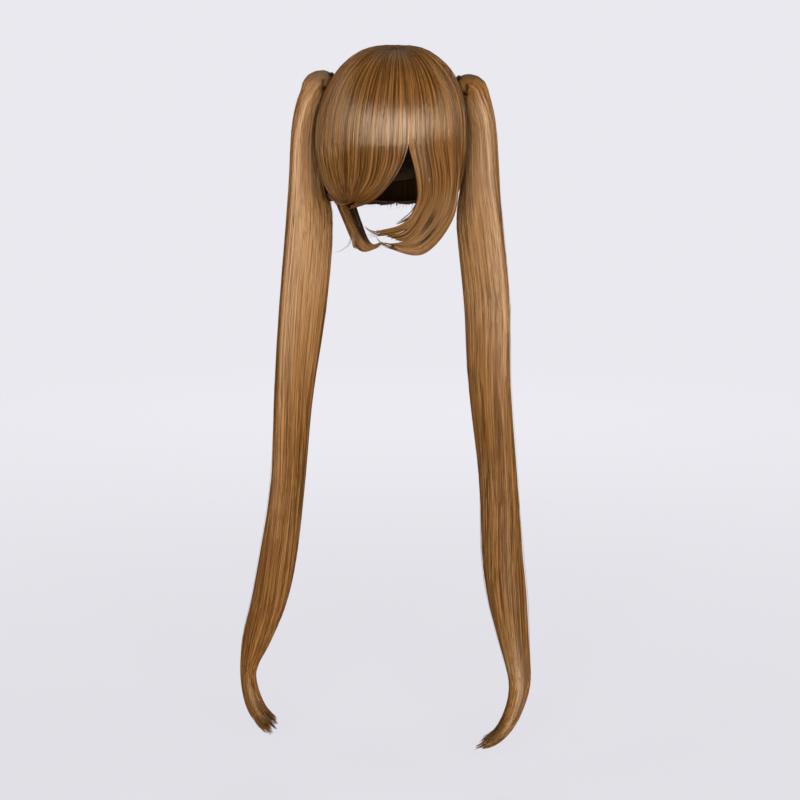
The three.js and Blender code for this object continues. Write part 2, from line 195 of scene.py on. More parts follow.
def sample(grid: Array, column: Array, row: Array) -> Array:
    """Values of a grid between its points, blended straight in both directions.

    Args:
        grid: rows by columns by values.
        column: places across, in columns.
        row: places along, in rows. Past the last row the last stretch runs on straight.

    Returns:
        The values at each place.
    """
    rows, columns = grid.shape[:2]
    column = np.clip(column, 0, columns - 1.001)
    i = column.astype(int)
    j = np.clip(row, 0, rows - 1.001).astype(int)
    across = (column - i)[..., None]
    down = (row - j)[..., None]
    near = mix(grid[j, i], grid[j, i + 1], across)
    far = mix(grid[j + 1, i], grid[j + 1, i + 1], across)
    return mix(near, far, down)


@dataclass
class MeshData:
    """Points, faces and point values of a mesh, before Blender has it.

    Attributes:
        points: points by 3.
        quads: faces of four corners.
        triangles: faces of three corners.
        quad_map: place of each quad's corners on the baking map.
        triangle_map: the same for the triangles.
        values: named values of the points, numbers or vectors.
    """

    points: Array
    quads: Array
    triangles: Array
    quad_map: Array
    triangle_map: Array
    values: dict[str, Array]

    def make(self, name: str) -> bpy.types.Object:
        """The mesh as a smooth-shaded object at the origin, in the scene.

        Args:
            name: name of the object and of its mesh.

        Returns:
            The object.
        """
        mesh = bpy.data.meshes.new(name)
        mesh.vertices.add(len(self.points))
        mesh.vertices.foreach_set("co", self.points.astype(np.float32).ravel())
        corners = np.concatenate([self.quads.ravel(), self.triangles.ravel()]).astype(np.int32)
        mesh.loops.add(len(corners))
        mesh.loops.foreach_set("vertex_index", corners)
        quad_starts = np.arange(len(self.quads)) * 4
        triangle_starts = len(self.quads) * 4 + np.arange(len(self.triangles)) * 3
        starts = np.concatenate([quad_starts, triangle_starts]).astype(np.int32)
        mesh.polygons.add(len(starts))
        mesh.polygons.foreach_set("loop_start", starts)
        mesh.update(calc_edges=True)
        mesh.polygons.foreach_set("use_smooth", np.ones(len(starts), bool))
        places = np.concatenate([self.quad_map.reshape(-1, 2), self.triangle_map.reshape(-1, 2)])
        layer = mesh.uv_layers.new(name="OFBake")
        layer.uv.foreach_set("vector", places.astype(np.float32).ravel())
        for key, value in self.values.items():
            kind, slot = ("FLOAT_VECTOR", "vector") if value.ndim == 2 else ("FLOAT", "value")
            attribute = mesh.attributes.new(key, kind, "POINT")
            attribute.data.foreach_set(slot, value.astype(np.float32).ravel())
        thing = bpy.data.objects.new(name, mesh)
        bpy.context.scene.collection.objects.link(thing)
        return thing


def map_corners(*corners: tuple[Array, Array]) -> Array:
    """Places of faces on the baking map, from the across and up of each corner."""
    return np.stack([np.stack(corner, 1) for corner in corners], 1)


def map_squares(u: Array, v: Array, wide: float, high: float) -> Array:
    """Places of square faces on the baking map, from their lower left corners and their size."""
    return map_corners((u, v), (u + wide, v), (u + wide, v + high), (u, v + high))


def closed_rings(rings: Array, values: dict[str, Array]) -> MeshData:
    """A closed body through closed rings of equally many points, each end closed by a fan to its middle.

    Args:
        rings: rings by points by 3.
        values: named values for the same rings and points.

    Returns:
        The body's mesh.
    """
    rows, count = rings.shape[:2]
    ends = np.stack([rings[0].mean(0), rings[-1].mean(0)])
    points = np.concatenate([rings.reshape(-1, 3), ends])
    r, i = np.meshgrid(np.arange(rows - 1), np.arange(count), indexing="ij")
    a = (r * count + i).ravel()
    b = (r * count + (i + 1) % count).ravel()
    quads = np.stack([a, b, b + count, a + count], 1)
    body_map = 1 - 2 * CAP_MAP
    u, v = (i / count).ravel(), CAP_MAP + body_map * (r / (rows - 1)).ravel()
    quad_map = map_squares(u, v, 1 / count, body_map / (rows - 1))
    ring = np.arange(count)
    after = (ring + 1) % count
    start = np.stack([after, ring, np.full(count, rows * count)], 1)
    base = (rows - 1) * count
    end = np.stack([base + ring, base + after, np.full(count, rows * count + 1)], 1)
    left, right = ring / count, (ring + 1) / count
    middle = (left + right) / 2
    low, high = np.zeros(count), np.full(count, CAP_MAP)
    start_map = map_corners((right, high), (left, high), (middle, low))
    end_map = map_corners((left, 1 - high), (right, 1 - high), (middle, 1 - low))
    flat = {}
    for key, value in values.items():
        whole = value.reshape(rows * count, -1)
        whole = np.concatenate([whole, value[0].reshape(count, -1).mean(0)[None],
                                value[-1].reshape(count, -1).mean(0)[None]])
        flat[key] = whole if value.ndim == 3 else whole[:, 0]
    return facing_out(MeshData(points, quads, np.concatenate([start, end]), quad_map,
                               np.concatenate([start_map, end_map]), flat))


def facing_out(data: MeshData) -> MeshData:
    """The body with its faces turned round if they enclose a negative volume.

    Args:
        data: a closed body.

    Returns:
        The same body.
    """
    p = data.points
    q = data.quads
    corners = np.concatenate([q[:, [0, 1, 2]], q[:, [0, 2, 3]], data.triangles])
    a, b, c = p[corners[:, 0]], p[corners[:, 1]], p[corners[:, 2]]
    if np.einsum("ij,ij->i", a, np.cross(b, c)).sum() < 0:
        data.quads = q[:, ::-1]
        data.quad_map = data.quad_map[:, ::-1]
        data.triangles = data.triangles[:, ::-1]
        data.triangle_map = data.triangle_map[:, ::-1]
    return data


def strand_tubes(lines: Array, up: Array, radius: Array, values: dict[str, Array]) -> MeshData:
    """Strands as one mesh of closed tubes with three sides.

    Each ring is square to its line: point + radius * (cos a * side + sin a * up).

    Args:
        lines: strands by points by 3.
        up: direction away from the hair below, for each point.
        radius: half width, for each point.
        values: named values of the points of the lines.

    Returns:
        The mesh of all the strands.
    """
    count, steps = lines.shape[:2]
    ahead = unit(np.gradient(lines, axis=1))
    side = unit(np.cross(ahead, up))
    lift = np.cross(side, ahead)
    off = (np.cos(STRAND_CORNERS)[:, None] * side[:, :, None]
           + np.sin(STRAND_CORNERS)[:, None] * lift[:, :, None])
    points = (lines[:, :, None] + radius[:, :, None, None] * off).reshape(-1, 3)
    s, k, i = np.meshgrid(np.arange(count), np.arange(steps - 1), np.arange(3), indexing="ij")
    base = (s * steps + k) * 3
    a = (base + i).ravel()
    b = (base + (i + 1) % 3).ravel()
    quads = np.stack([a, b, b + 3, a + 3], 1)
    wide = 1 - 2 * STRAND_MARGIN
    high = 1 - 2 * STRAND_END
    u = ((s + STRAND_MARGIN + wide * i / 3) / count).ravel()
    v = (k / (steps - 1) * high + STRAND_END).ravel()
    quad_map = map_squares(u, v, wide / 3 / count, high / (steps - 1))
    first = np.arange(count) * steps * 3
    last = first + (steps - 1) * 3
    triangles = np.concatenate([np.stack([first + 2, first + 1, first], 1),
                                np.stack([last, last + 1, last + 2], 1)])
    left = (np.arange(count) + STRAND_MARGIN) / count
    right = left + wide / count
    low, high = np.zeros(count), np.full(count, STRAND_END)
    start_map = map_corners((left, low), (right, low), (right, high))
    end_map = map_corners((left, 1 - high), (right, 1 - high), (right, 1 - low))
    flat = {key: np.repeat(value.reshape(count * steps, -1), 3, axis=0) for key, value in values.items()}
    flat = {key: value if value.shape[1] == 3 else value[:, 0] for key, value in flat.items()}
    return facing_out(MeshData(points, quads, triangles, quad_map,
                               np.concatenate([start_map, end_map]), flat))


@dataclass(frozen=True)
class Layer:
    """Half sizes of a dome over the head, and how far its crown leans to the right."""

    side: Any
    front: Any
    rise: Any
    lean: Any = 0.0


@dataclass(frozen=True)
class HeadForm:
    """The head that the cap fits, and the depth of the hair over it."""

    breadth: float = 0.152
    length: float = 0.190
    crown: float = 0.092
    power: float = 2.2
    net_wall: float = 0.0012
    net_gap: float = 0.00095
    hair_wall: float = 0.0071
    whorl_wall: float = 0.0036
    full_wall_at: float = 0.45
    tip_wall: float = 0.0022
    under_gap: float = 0.0008
    crown_lift: float = 0.0048
    crown_lean: float = 0.005
    whorl_side: float = 0.001
    whorl_front: float = 0.020
    whorl_radius: float = 0.007
    fringe_drop: float = 0.073
    lock_drop: float = 0.122
    lock_wall: float = 0.0046
    nape_drop: float = 0.086
    nape_tuck: float = 0.22
    nape_power: float = 1.8

    def layer(self, above: Any, lift: float = 0.0, lean: float = 0.0) -> Layer:
        """The dome at a height above the head."""
        return Layer(self.breadth / 2 + above, self.length / 2 + above, self.crown + above + lift, lean)

    def outside(self, wall: Any) -> Layer:
        """The outside of the hair where its wall has a given depth."""
        return self.layer(self.net_wall + self.net_gap + wall, self.crown_lift, self.crown_lean)

    def inside(self) -> Layer:
        """The inside of the hair."""
        return self.layer(self.net_wall + self.net_gap)

    def dome(self, x: Array, y: Array, layer: Layer) -> Array:
        """Points of a dome over places of the plan whose outline is the unit circle.

        The height is (1 - share^power)^(1 / power), where share is the distance from the middle of the plan.

        Args:
            x: places across the plan.
            y: places along it, with the face at -1.
            layer: the dome.

        Returns:
            A point for each place.
        """
        share = np.minimum(1.0, np.hypot(x, y))
        height = (1 - share ** self.power) ** (1 / self.power)
        return np.stack([x * layer.side + layer.lean * height, y * layer.front,
                         layer.rise * height - self.crown], -1)

    def beside(self, turn: Array, share: Array, z: Array, layer: Layer) -> Array:
        """Points at a turn round the head in degrees, a share of its outline and a height."""
        angle = np.radians(turn)
        return np.stack([layer.side * share * np.sin(angle), -layer.front * share * np.cos(angle), z], -1)

    def dome_lines(self, turns: Array, rows: int) -> tuple[Array, Array]:
        """Outer and inner lines from the whorl's rim to the widest line, without that line itself.

        On the plan a line runs straight from the whorl to the rim of the unit circle at its turn, its
        steps closing up towards the rim as a sine does.

        Args:
            turns: turn of each line round the head, in degrees.
            rows: number of points down a line.

        Returns:
            Rows by turns of points, outside and inside.
        """
        full = self.outside(self.hair_wall)
        whorl = np.array([self.whorl_side / full.side, -self.whorl_front / full.front])
        rim = np.stack([np.sin(np.radians(turns)), -np.cos(np.radians(turns))])
        reach = np.hypot((rim[0] - whorl[0]) * full.side, (rim[1] - whorl[1]) * full.front)
        ease = np.sin(np.arange(rows) / rows * math.pi / 2)[:, None]
        way = mix(self.whorl_radius / reach, 1.0, ease)
        x = mix(whorl[0], rim[0], way)
        y = mix(whorl[1], rim[1], way)
        wall = mix(self.whorl_wall, self.hair_wall, smooth(way / self.full_wall_at))
        return self.dome(x, y, self.outside(wall)), self.dome(x, y, self.inside())

    def moved_in(self, points: Array, distance: Any) -> Array:
        """Points moved level towards the middle of the head.

        Args:
            points: points beside the head.
            distance: metres.

        Returns:
            The moved points.
        """
        full = self.outside(self.hair_wall)
        inwards = np.stack([points[..., 0] / full.side ** 2, points[..., 1] / full.front ** 2,
                            np.zeros(points.shape[:-1])], -1)
        return points - unit(inwards) * distance

    def hair_side(self, z: Array, side: int, back: float) -> Array:
        """Distance from the mid-plane to the hair on one side, at a height and a place behind the middle.

        Args:
            z: heights.
            side: -1 for left, 1 for right.
            back: metres behind the middle.

        Returns:
            Metres from the mid-plane.
        """
        full = self.outside(self.hair_wall)
        up = np.clip((z + self.crown) / full.rise, 0.0, 1.0)
        reach = (1 - up ** self.power) ** (1 / self.power)
        across = np.sqrt(np.maximum(0.0, reach ** 2 - (back / full.front) ** 2))
        return full.side * across + side * full.lean * up


HEAD = HeadForm()

# Guides of the hair, a row each. Five stations (root, fall, sweep, hook, tip) of three numbers: the turn
# round the head in degrees, the share of its outline, and the drop below the widest line as a share of the
# piece's own
FRINGE_GUIDES = np.array([
    [-84, 1, 0, -82, 0.99, 0.25, -78, 0.96, 0.5, -71, 0.89, 0.74, -63, 0.82, 0.93],
    [-53, 1, 0, -51, 1, 0.25, -49, 0.98, 0.5, -46, 0.93, 0.74, -42, 0.88, 0.93],
    [-29, 1, 0, -29, 1, 0.25, -30, 1, 0.5, -32, 0.98, 0.72, -34, 0.95, 0.89],
    [-9, 1, 0, -10, 1, 0.25, -13, 1, 0.5, -20, 1, 0.71, -28, 0.98, 0.86],
    [4, 1, 0, 3, 1, 0.25, -3, 1.01, 0.51, -12, 1.01, 0.72, -26, 1, 0.9],
    [13.1, 1, 0, 9, 1, 0.25, 2, 1.01, 0.5, -12, 1.02, 0.81, -37, 1, 1],
])
CHEEK_GUIDES = np.array([
    [13.1, 1, 0, 19.5, 1, 0.3, 20.5, 0.98, 0.5, 11, 0.905, 0.69, -21, 0.8, 0.79],
    [25.3, 1, 0, 28, 1, 0.32, 26, 0.965, 0.53, 12, 0.88, 0.76, -18, 0.78, 0.84],
])
JAW_RIGHT_GUIDES = np.array([
    [25.3, 1, 0, 30, 1, 0.32, 29.5, 0.965, 0.55, 14, 0.83, 0.85, -10, 0.75, 0.9],
    [47, 1, 0, 52, 0.98, 0.38, 48, 0.93, 0.64, 24, 0.8, 0.92, -7, 0.73, 0.885],
    [70, 1, 0, 68, 0.96, 0.4, 62, 0.92, 0.7, 30, 0.8, 1, -9, 0.72, 0.925],
])
JAW_LEFT_GUIDES = np.array([
    [-76, 1, 0.06, -74, 0.829, 0.4, -60, 0.746, 0.68, -34, 0.705, 0.975, -12, 0.68, 0.935],
    [-56, 1, 0.06, -53, 0.85, 0.43, -43, 0.765, 0.7, -24, 0.71, 0.93, -9, 0.69, 0.9],
    [-39, 1, 0.06, -36, 0.88, 0.42, -31, 0.79, 0.69, -20, 0.735, 0.9, -8, 0.71, 0.877],
])
# Thin hair between the cheek lock and the jaw lock, just inside them
UNDER_GUIDES = np.array([
    [24, 0.985, 0.1, 27, 0.985, 0.32, 25, 0.95, 0.53, 12.5, 0.865, 0.765, -8, 0.79, 0.82],
    [27, 0.985, 0.1, 30.5, 0.985, 0.32, 29, 0.948, 0.545, 17, 0.83, 0.81, 2, 0.77, 0.86],
    [30, 0.985, 0.1, 33, 0.98, 0.33, 32, 0.945, 0.56, 21, 0.82, 0.84, 8, 0.77, 0.875],
])
# Loose wisps: width in metres, number of strands, and stations in mm
LOOSE_PATHS = (
    (0.0030, 14, ((-39, -73, -190), (-41, -76, -197), (-40, -78, -204), (-37, -77, -207))),
    (0.0016, 4, ((-42, -72, -186), (-46, -78, -201), (-54, -80, -208), (-64, -82, -210.6))),
    (0.0014, 3, ((-42, -72, -188), (-44, -77, -199), (-49, -78, -207.8))),
    (0.0050, 20, ((33, -90, -150), (24, -87, -166), (14.6, -84, -174.3), (5.8, -82, -178.9))),
    (0.0045, 22, ((34, -86, -162), (21, -83, -176.7), (8, -80, -184.5), (-5, -78, -188), (-16, -76, -187))),
    (0.0030, 12, ((0, -80, -189), (-14, -77, -189.5), (-24, -76, -186), (-29, -75, -181.8))),
    (0.0030, 12, ((6, -78, -207), (-3, -75, -204.5), (-10.7, -73, -200.7), (-16.2, -72, -194.2))),
    (0.0026, 10, ((-70, -60, -148), (-58, -74, -156), (-46.6, -83, -156), (-36, -91, -150))),
)
# Ends of the back hair: the turn, and the drop as a share of the nape's
BACK_ENDS = np.array([[70, 0.84], [100, 0.86], [140, 0.95], [180, 1], [220, 0.96], [250, 0.88], [276, 0.84]])
# Rim of the cap: the turn, and the rise above the widest line as a share of the crown's height
CAP_RIM = np.array([[0, 0.39], [35, 0.33], [60, 0.2], [80, 0.02], [95, 0.04], [120, -0.22], [150, -0.5],
                    [180, -0.59]])
# Sections down a tail: the fall from the join as a share of the tail's, the share of its own half thickness
# by which it stands off the head, the swing outwards as a share of the spread, the place behind the join as
# a share of the depth, the half thickness and half depth as shares of the tail's, and the turn in degrees
TAIL_LEFT_SECTIONS = np.array([
    [0, 0, 0, 0, 0.4, 0.37, 0],
    [-0.0045, 0.8, 0, 0.01, 0.54, 0.55, 2],
    [0.002, 1, 0.02, 0.02, 0.665, 0.68, 4],
    [0.016, 1, 0.012, 0.04, 0.63, 0.78, 8],
    [0.034, 1, 0.008, 0.06, 0.627, 0.85, 12],
    [0.066, 1, 0, 0.09, 0.62, 0.9, 16],
    [0.141, 1, -0.01, 0.1, 0.7, 0.95, 20],
    [0.2, 1, -0.1, 0.1, 0.94, 0.97, 33],
    [0.328, 1, -0.01, 0.1, 0.95, 1, 35],
    [0.487, 1, 0.17, 0.07, 0.86, 0.95, 24],
    [0.616, 1, 0.26, -0.01, 0.84, 0.9, 18],
    [0.742, 1, 0.37, -0.2, 1, 0.84, 18],
    [0.807, 1, 0.49, -0.3, 0.98, 0.78, 14],
    [0.868, 1, 0.71, -0.46, 0.78, 0.62, 8],
    [0.915, 1, 0.9, -0.62, 0.4, 0.42, 0],
    [0.957, 1, 0.82, -0.76, 0.44, 0.36, 0],
    [0.979, 1, 0.71, -0.84, 0.46, 0.28, 0],
    [1, 1, 0.57, -0.92, 0.26, 0.14, 0],
])
TAIL_RIGHT_SECTIONS = np.array([
    [0.006, 0, 0, 0, 0.4, 0.37, 0],
    [0.002, 0.8, 0, 0.01, 0.58, 0.55, 2],
    [0.008, 1, 0.018, 0.02, 0.71, 0.68, 4],
    [0.022, 1, 0.012, 0.04, 0.725, 0.78, 8],
    [0.04, 1, 0.002, 0.06, 0.75, 0.85, 12],
    [0.066, 1, 0.008, 0.09, 0.78, 0.9, 14],
    [0.141, 1, 0, 0.1, 0.88, 0.95, 18],
    [0.204, 1, -0.012, 0.1, 0.93, 0.97, 31],
    [0.328, 1, 0.12, 0.1, 0.84, 1, 32],
    [0.454, 1, 0.15, 0.07, 0.88, 0.95, 28],
    [0.616, 1, 0.29, -0.01, 0.88, 0.9, 20],
    [0.742, 1, 0.31, -0.2, 1.06, 0.84, 18],
    [0.807, 1, 0.39, -0.34, 1.02, 0.78, 14],
    [0.866, 1, 0.515, -0.53, 0.82, 0.62, 8],
    [0.922, 1, 0.64, -0.79, 0.58, 0.44, 0],
    [0.949, 1, 0.625, -0.96, 0.44, 0.33, 0],
    [0.974, 1, 0.53, -1.15, 0.37, 0.25, 0],
    [0.992, 1, 0.39, -1.32, 0.28, 0.18, 0],
    [1, 1, 0.17, -1.49, 0.14, 0.08, 0],
])


class Number:
    """A number socket of a shader, on which Python's operators add Math nodes."""

    def __init__(self, graph: "Graph", socket: bpy.types.NodeSocket) -> None:
        """Keeps the graph and the socket."""
        self.graph = graph
        self.socket = socket

    def math(self, operation: str, first: Any, second: Any = 0.0) -> "Number":
        """One Math node on two numbers or sockets."""
        return self.graph.node("Math", {"operation": operation}, {0: first, 1: second}).number()

    def __add__(self, other: Any) -> "Number":
        """Sum."""
        return self.math("ADD", self, other)

    def __radd__(self, other: Any) -> "Number":
        """Sum, with the number first."""
        return self.math("ADD", other, self)

    def __sub__(self, other: Any) -> "Number":
        """Difference."""
        return self.math("SUBTRACT", self, other)

    def __rsub__(self, other: Any) -> "Number":
        """Difference, with the number first."""
        return self.math("SUBTRACT", other, self)

    def __mul__(self, other: Any) -> "Number":
        """Product."""
        return self.math("MULTIPLY", self, other)

    def __rmul__(self, other: Any) -> "Number":
        """Product, with the number first."""
        return self.math("MULTIPLY", other, self)

    def held(self) -> "Number":
        """The number held between 0 and 1."""
        return self.graph.node("Clamp", {}, {"Value": self}).number()

    def step(self, low: float, high: float) -> "Number":
        """Smooth step of the number between two limits.

        Args:
            low: where the step is 0.
            high: where it is 1.

        Returns:
            The step as a number.
        """
        settings = {"interpolation_type": "SMOOTHSTEP"}
        inputs = {"Value": self, "From Min": low, "From Max": high}
        return self.graph.node("MapRange", settings, inputs).number()


@dataclass
class NodeBox:
    """A node of a graph, with ways to its outputs."""

    graph: "Graph"
    node: bpy.types.Node

    def out(self, key: Any = 0) -> bpy.types.NodeSocket:
        """An output, by name or number."""
        return self.node.outputs[key]

    def number(self, key: Any = 0) -> Number:
        """An output as a number."""
        return Number(self.graph, self.node.outputs[key])


class Graph:
    """The shader nodes of one material."""

    def __init__(self, name: str) -> None:
        """Makes a material with an empty node tree.

        Args:
            name: name of the material.
        """
        self.material = bpy.data.materials.new(name)
        self.material.use_nodes = True
        self.tree = self.material.node_tree
        self.tree.nodes.clear()

    def node(self, kind: str, settings: dict[str, Any], inputs: dict[Any, Any]) -> NodeBox:
        """Adds a node.

        Args:
            kind: the node's type, without ShaderNode in front.
            settings: the node's own properties, which are set first. stops sets a ramp's stops.
            inputs: values or links of its sockets, by name or number.

        Returns:
            The node in its box.
        """
        node = self.tree.nodes.new("ShaderNode" + kind)
        for key, value in settings.items():
            if key == "stops":
                self.set_stops(node.color_ramp, value)
            else:
                setattr(node, key, value)
        for key, value in inputs.items():
            target = node.inputs[key]
            if isinstance(value, Number):
                self.tree.links.new(value.socket, target)
            elif isinstance(value, bpy.types.NodeSocket):
                self.tree.links.new(value, target)
            else:
                target.default_value = value
        return NodeBox(self, node)

    def set_stops(self, ramp: bpy.types.ColorRamp, stops: list[tuple[float, Colour]]) -> None:
        """Gives a ramp its stops, each a place and a colour.

        Args:
            ramp: the ramp.
            stops: places and colours.
        """
        while len(ramp.elements) < len(stops):
            ramp.elements.new(1.0)
        for element, (place, colour) in zip(ramp.elements, stops):
            element.position = place
            element.color = (*colour, 1.0)

    def blend(self, factor: Any, first: Any, second: Any) -> bpy.types.NodeSocket:
        """Mixes two colours."""
        colours = [(*c, 1.0) if isinstance(c, tuple) else c for c in (first, second)]
        return self.node("Mix", {"data_type": "RGBA"}, {0: factor, 6: colours[0], 7: colours[1]}).out(2)

    def attribute(self, name: str) -> NodeBox:
        """Reads a named value of the mesh."""
        return self.node("Attribute", {"attribute_name": name}, {})

    def stretched(self, vector: bpy.types.NodeSocket, scale: Triple) -> bpy.types.NodeSocket:
        """A vector times a scale on each axis."""
        return self.node("VectorMath", {"operation": "MULTIPLY"}, {0: vector, 1: scale}).out()

    def grain(self, vector: bpy.types.NodeSocket, scale: Triple, detail: float = 1.0) -> Number:
        """Noise over a stretched vector, about 0.5 in the mean."""
        inputs = {"Vector": self.stretched(vector, scale), "Scale": 1.0, "Detail": detail}
        return self.node("TexNoise", {}, inputs).number()

    def finish(self, inputs: dict[str, Any]) -> bpy.types.Material:
        """Ends the graph in a Principled shader and returns the material.

        Args:
            inputs: values or links of the shader's sockets.

        Returns:
            The finished material.
        """
        shader = self.node("BsdfPrincipled", {}, inputs)
        self.node("OutputMaterial", {}, {"Surface": shader.out()})
        return self.material


@dataclass(frozen=True)
class HairFinish:
    """Straight synthetic hair with a soft satin gloss. Colours are linear.

    The flow value of the mesh gives metres across the hair and metres along it, so the streaks follow it.
    Its deep value mixes in a dull, dark shader, painted shade for hair in shadow, and its lean value turns
    the gloss by the bump.
    """

    name: str
    dark: Colour
    body: Colour
    light: Colour
    # root is the colour of the roots near the whorl, and of the painted shade at the top of a tail
    root: Colour
    # deep is the colour of the painted shade
    deep: Colour = (0.007, 0.0033, 0.0016)
    gloss: float = 0.85
    gloss_tint: Colour = (1.0, 0.78, 0.55)
    rough: float = 0.27
    fine_scale: Triple = (1500.0, 1500.0, 9.0)
    middle_scale: Triple = (980.0, 980.0, 5.0)
    broad_scale: Triple = (170.0, 170.0, 3.0)
    lean_to_height: float = 2000.0
    stops: Triple = (0.2, 0.48, 0.8)

    def material(self) -> bpy.types.Material:
        """The hair's material.

        The tone is a sum of three scales of noise, stretched along the hair, and the mesh's shade. A ramp
        takes it from the dark colour through the body's to the light one.

        Returns:
            The material.
        """
        graph = Graph(self.name)
        flow = graph.attribute("flow").out("Vector")
        shade = graph.attribute("shade").number("Fac")
        root = graph.attribute("root").number("Fac")
        deep = graph.attribute("deep").number("Fac")
        lean = graph.attribute("lean").number("Fac")
        fine = graph.grain(flow, self.fine_scale, 2.0)
        middle = graph.grain(flow, self.middle_scale)
        broad = graph.grain(flow, self.broad_scale)
        tone = fine * 1.1 + middle * 1.8 + broad * 0.25 + shade * 0.14 - 1.075
        stops = list(zip(self.stops, (self.dark, self.body, self.light)))
        ramp = graph.node("ValToRGB", {"stops": stops}, {"Fac": tone.held()}).out()
        colour = graph.blend(root.held(), ramp, self.root)
        height = fine * 0.6 + middle * 0.4 + lean * self.lean_to_height
        bump = graph.node("Bump", {}, {"Strength": 0.6, "Distance": 0.0005, "Height": height}).out()
        hair = graph.node("BsdfPrincipled", {}, {
            "Base Color": colour,
            "Roughness": fine * 0.10 + root * 0.45 + self.rough,
            "Anisotropic": 0.75,
            "Specular IOR Level": self.gloss,
            "Specular Tint": (*self.gloss_tint, 1.0),
            "Normal": bump,
        })
        shaded = graph.node("BsdfPrincipled", {}, {
            "Base Color": graph.blend(tone.held(), self.deep, tuple(c * 2 for c in self.deep)),
            "Roughness": 0.8,
            "Specular IOR Level": 0.06,
            "Normal": bump,
        })
        both = graph.node("MixShader", {}, {0: deep.held(), 1: hair.out(), 2: shaded.out()})
        graph.node("OutputMaterial", {}, {"Surface": both.out()})
        return graph.material


@dataclass(frozen=True)
class NetFinish:
    """Brown stretch net with sewn rows. The flow value gives metres round the cap and metres down it."""

    name: str = "cap_net"
    thread: Colour = (0.060, 0.036, 0.022)
    hole: Colour = (0.018, 0.010, 0.006)
    mesh_pitch: float = 0.0016

    def material(self) -> bpy.types.Material:
        """The net's material: a lattice of round holes between threads.

        Returns:
            The material.
        """
        graph = Graph(self.name)
        flow = graph.attribute("flow").out("Vector")
        scale = 1.0 / self.mesh_pitch
        cells = graph.node("TexVoronoi", {"feature": "DISTANCE_TO_EDGE"},
                           {"Vector": graph.stretched(flow, (scale, scale, scale)), "Scale": 1.0,
                            "Randomness": 0.25}).number()
        tape = graph.attribute("shade").number("Fac")
        web = (1.0 - cells.step(0.05, 0.2) + tape).held()
        cloth = graph.grain(flow, (60.0, 60.0, 60.0), 2.0)
        thread = graph.blend(cloth, self.thread, tuple(c * 1.6 for c in self.thread))
        colour = graph.blend(web, self.hole, thread)
        bump = graph.node("Bump", {}, {"Strength": 0.6, "Distance": 0.0004, "Height": web}).out()
        return graph.finish({"Base Color": colour, "Roughness": 0.8 - web * 0.1, "Normal": bump,
                             "Specular IOR Level": 0.25})


@dataclass(frozen=True)
class ScalpFinish:
    """Dull skin-toned scalp patch with fine darker dots where hair is knotted in."""

    name: str = "scalp_patch"
    skin: Colour = (0.430, 0.330, 0.245)
    knot: Colour = (0.090, 0.052, 0.028)

    def material(self) -> bpy.types.Material:
        """The patch's material.

        Returns:
            The material.
        """
        graph = Graph(self.name)
        place = graph.node("TexCoord", {}, {}).out("Object")
        dots = graph.node("TexVoronoi", {}, {"Vector": place, "Scale": 900.0}).number()
        grain = graph.grain(place, (700.0, 700.0, 700.0), 3.0)
        mask = 1.0 - dots.step(0.18, 0.42)
        colour = graph.blend(mask * 0.85, graph.blend(grain, self.skin, tuple(c * 0.8 for c in self.skin)),
                             self.knot)
        height = mask + grain * 0.4
        bump = graph.node("Bump", {}, {"Strength": 0.3, "Distance": 0.0003, "Height": height}).out()
        return graph.finish({"Base Color": colour, "Roughness": grain * 0.15 + 0.8, "Normal": bump,
                             "Specular IOR Level": 0.12})


@dataclass(frozen=True)
class ClipFinish:
    """Black moulded plastic, slightly worn in patches."""

    name: str = "clip_black"
    plastic: Colour = (0.009, 0.007, 0.006)
    worn: Colour = (0.022, 0.017, 0.014)

    def material(self) -> bpy.types.Material:
        """The clip's material.

        Returns:
            The material.
        """
        graph = Graph(self.name)
        place = graph.node("TexCoord", {}, {}).out("Object")
        cloud = graph.grain(place, (120.0, 120.0, 120.0), 3.0)
        pores = graph.grain(place, (2600.0, 2600.0, 2600.0), 2.0)
        bump = graph.node("Bump", {}, {"Strength": 0.25, "Distance": 0.0002, "Height": pores}).out()
        return graph.finish({"Base Color": graph.blend(cloud.step(0.45, 0.75), self.plastic, self.worn),
                             "Roughness": cloud * 0.25 + 0.30, "Normal": bump,
                             "Specular IOR Level": 0.25})


class Finish(Enum):
    """The finishes of the wig, by the record's material slot."""

    HEAD_HAIR = "head_hair"
    TAIL_HAIR = "tail_hair"
    NET = "net"
    SCALP = "scalp"
    CLIP = "clip"


FINISHES = {
    Finish.HEAD_HAIR: HairFinish("head_hair", (0.032, 0.0100, 0.0013), (0.078, 0.027, 0.0036),
                                 (0.180, 0.082, 0.022), (0.024, 0.009, 0.0018)),
    # The tail hair is painted lighter than the head hair: painted light for the brighter light on the
    # hanging tails
    Finish.TAIL_HAIR: HairFinish("tail_hair", (0.054, 0.0175, 0.0018), (0.127, 0.0475, 0.0066),
                                 (0.240, 0.114, 0.034), (0.040, 0.015, 0.003), gloss=0.75),
    Finish.NET: NetFinish(),
    Finish.SCALP: ScalpFinish(),
    Finish.CLIP: ClipFinish(),
}


class Wardrobe:
    """Makes each finish's material once and hands pieces over to the frame."""

    def __init__(self) -> None:
        """Makes the materials."""
        self.materials = {slot: finish.material() for slot, finish in FINISHES.items()}

    def dress(self, piece: bpy.types.Object, finish: Finish, node: str = "") -> None:
        """Gives a piece its finish and its body, and the node that it replaces, if any.

        Args:
            piece: the new piece.
            finish: its finish.
            node: the node that it stands for, or nothing.
        """
        piece.data.materials.clear()
        piece.data.materials.append(self.materials[finish])
        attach(piece, "root")
        if node:
            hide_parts(node)
        triangles = sum(len(p.vertices) - 2 for p in piece.data.polygons)
        LOG.info("%s: %d triangles", piece.name, triangles)


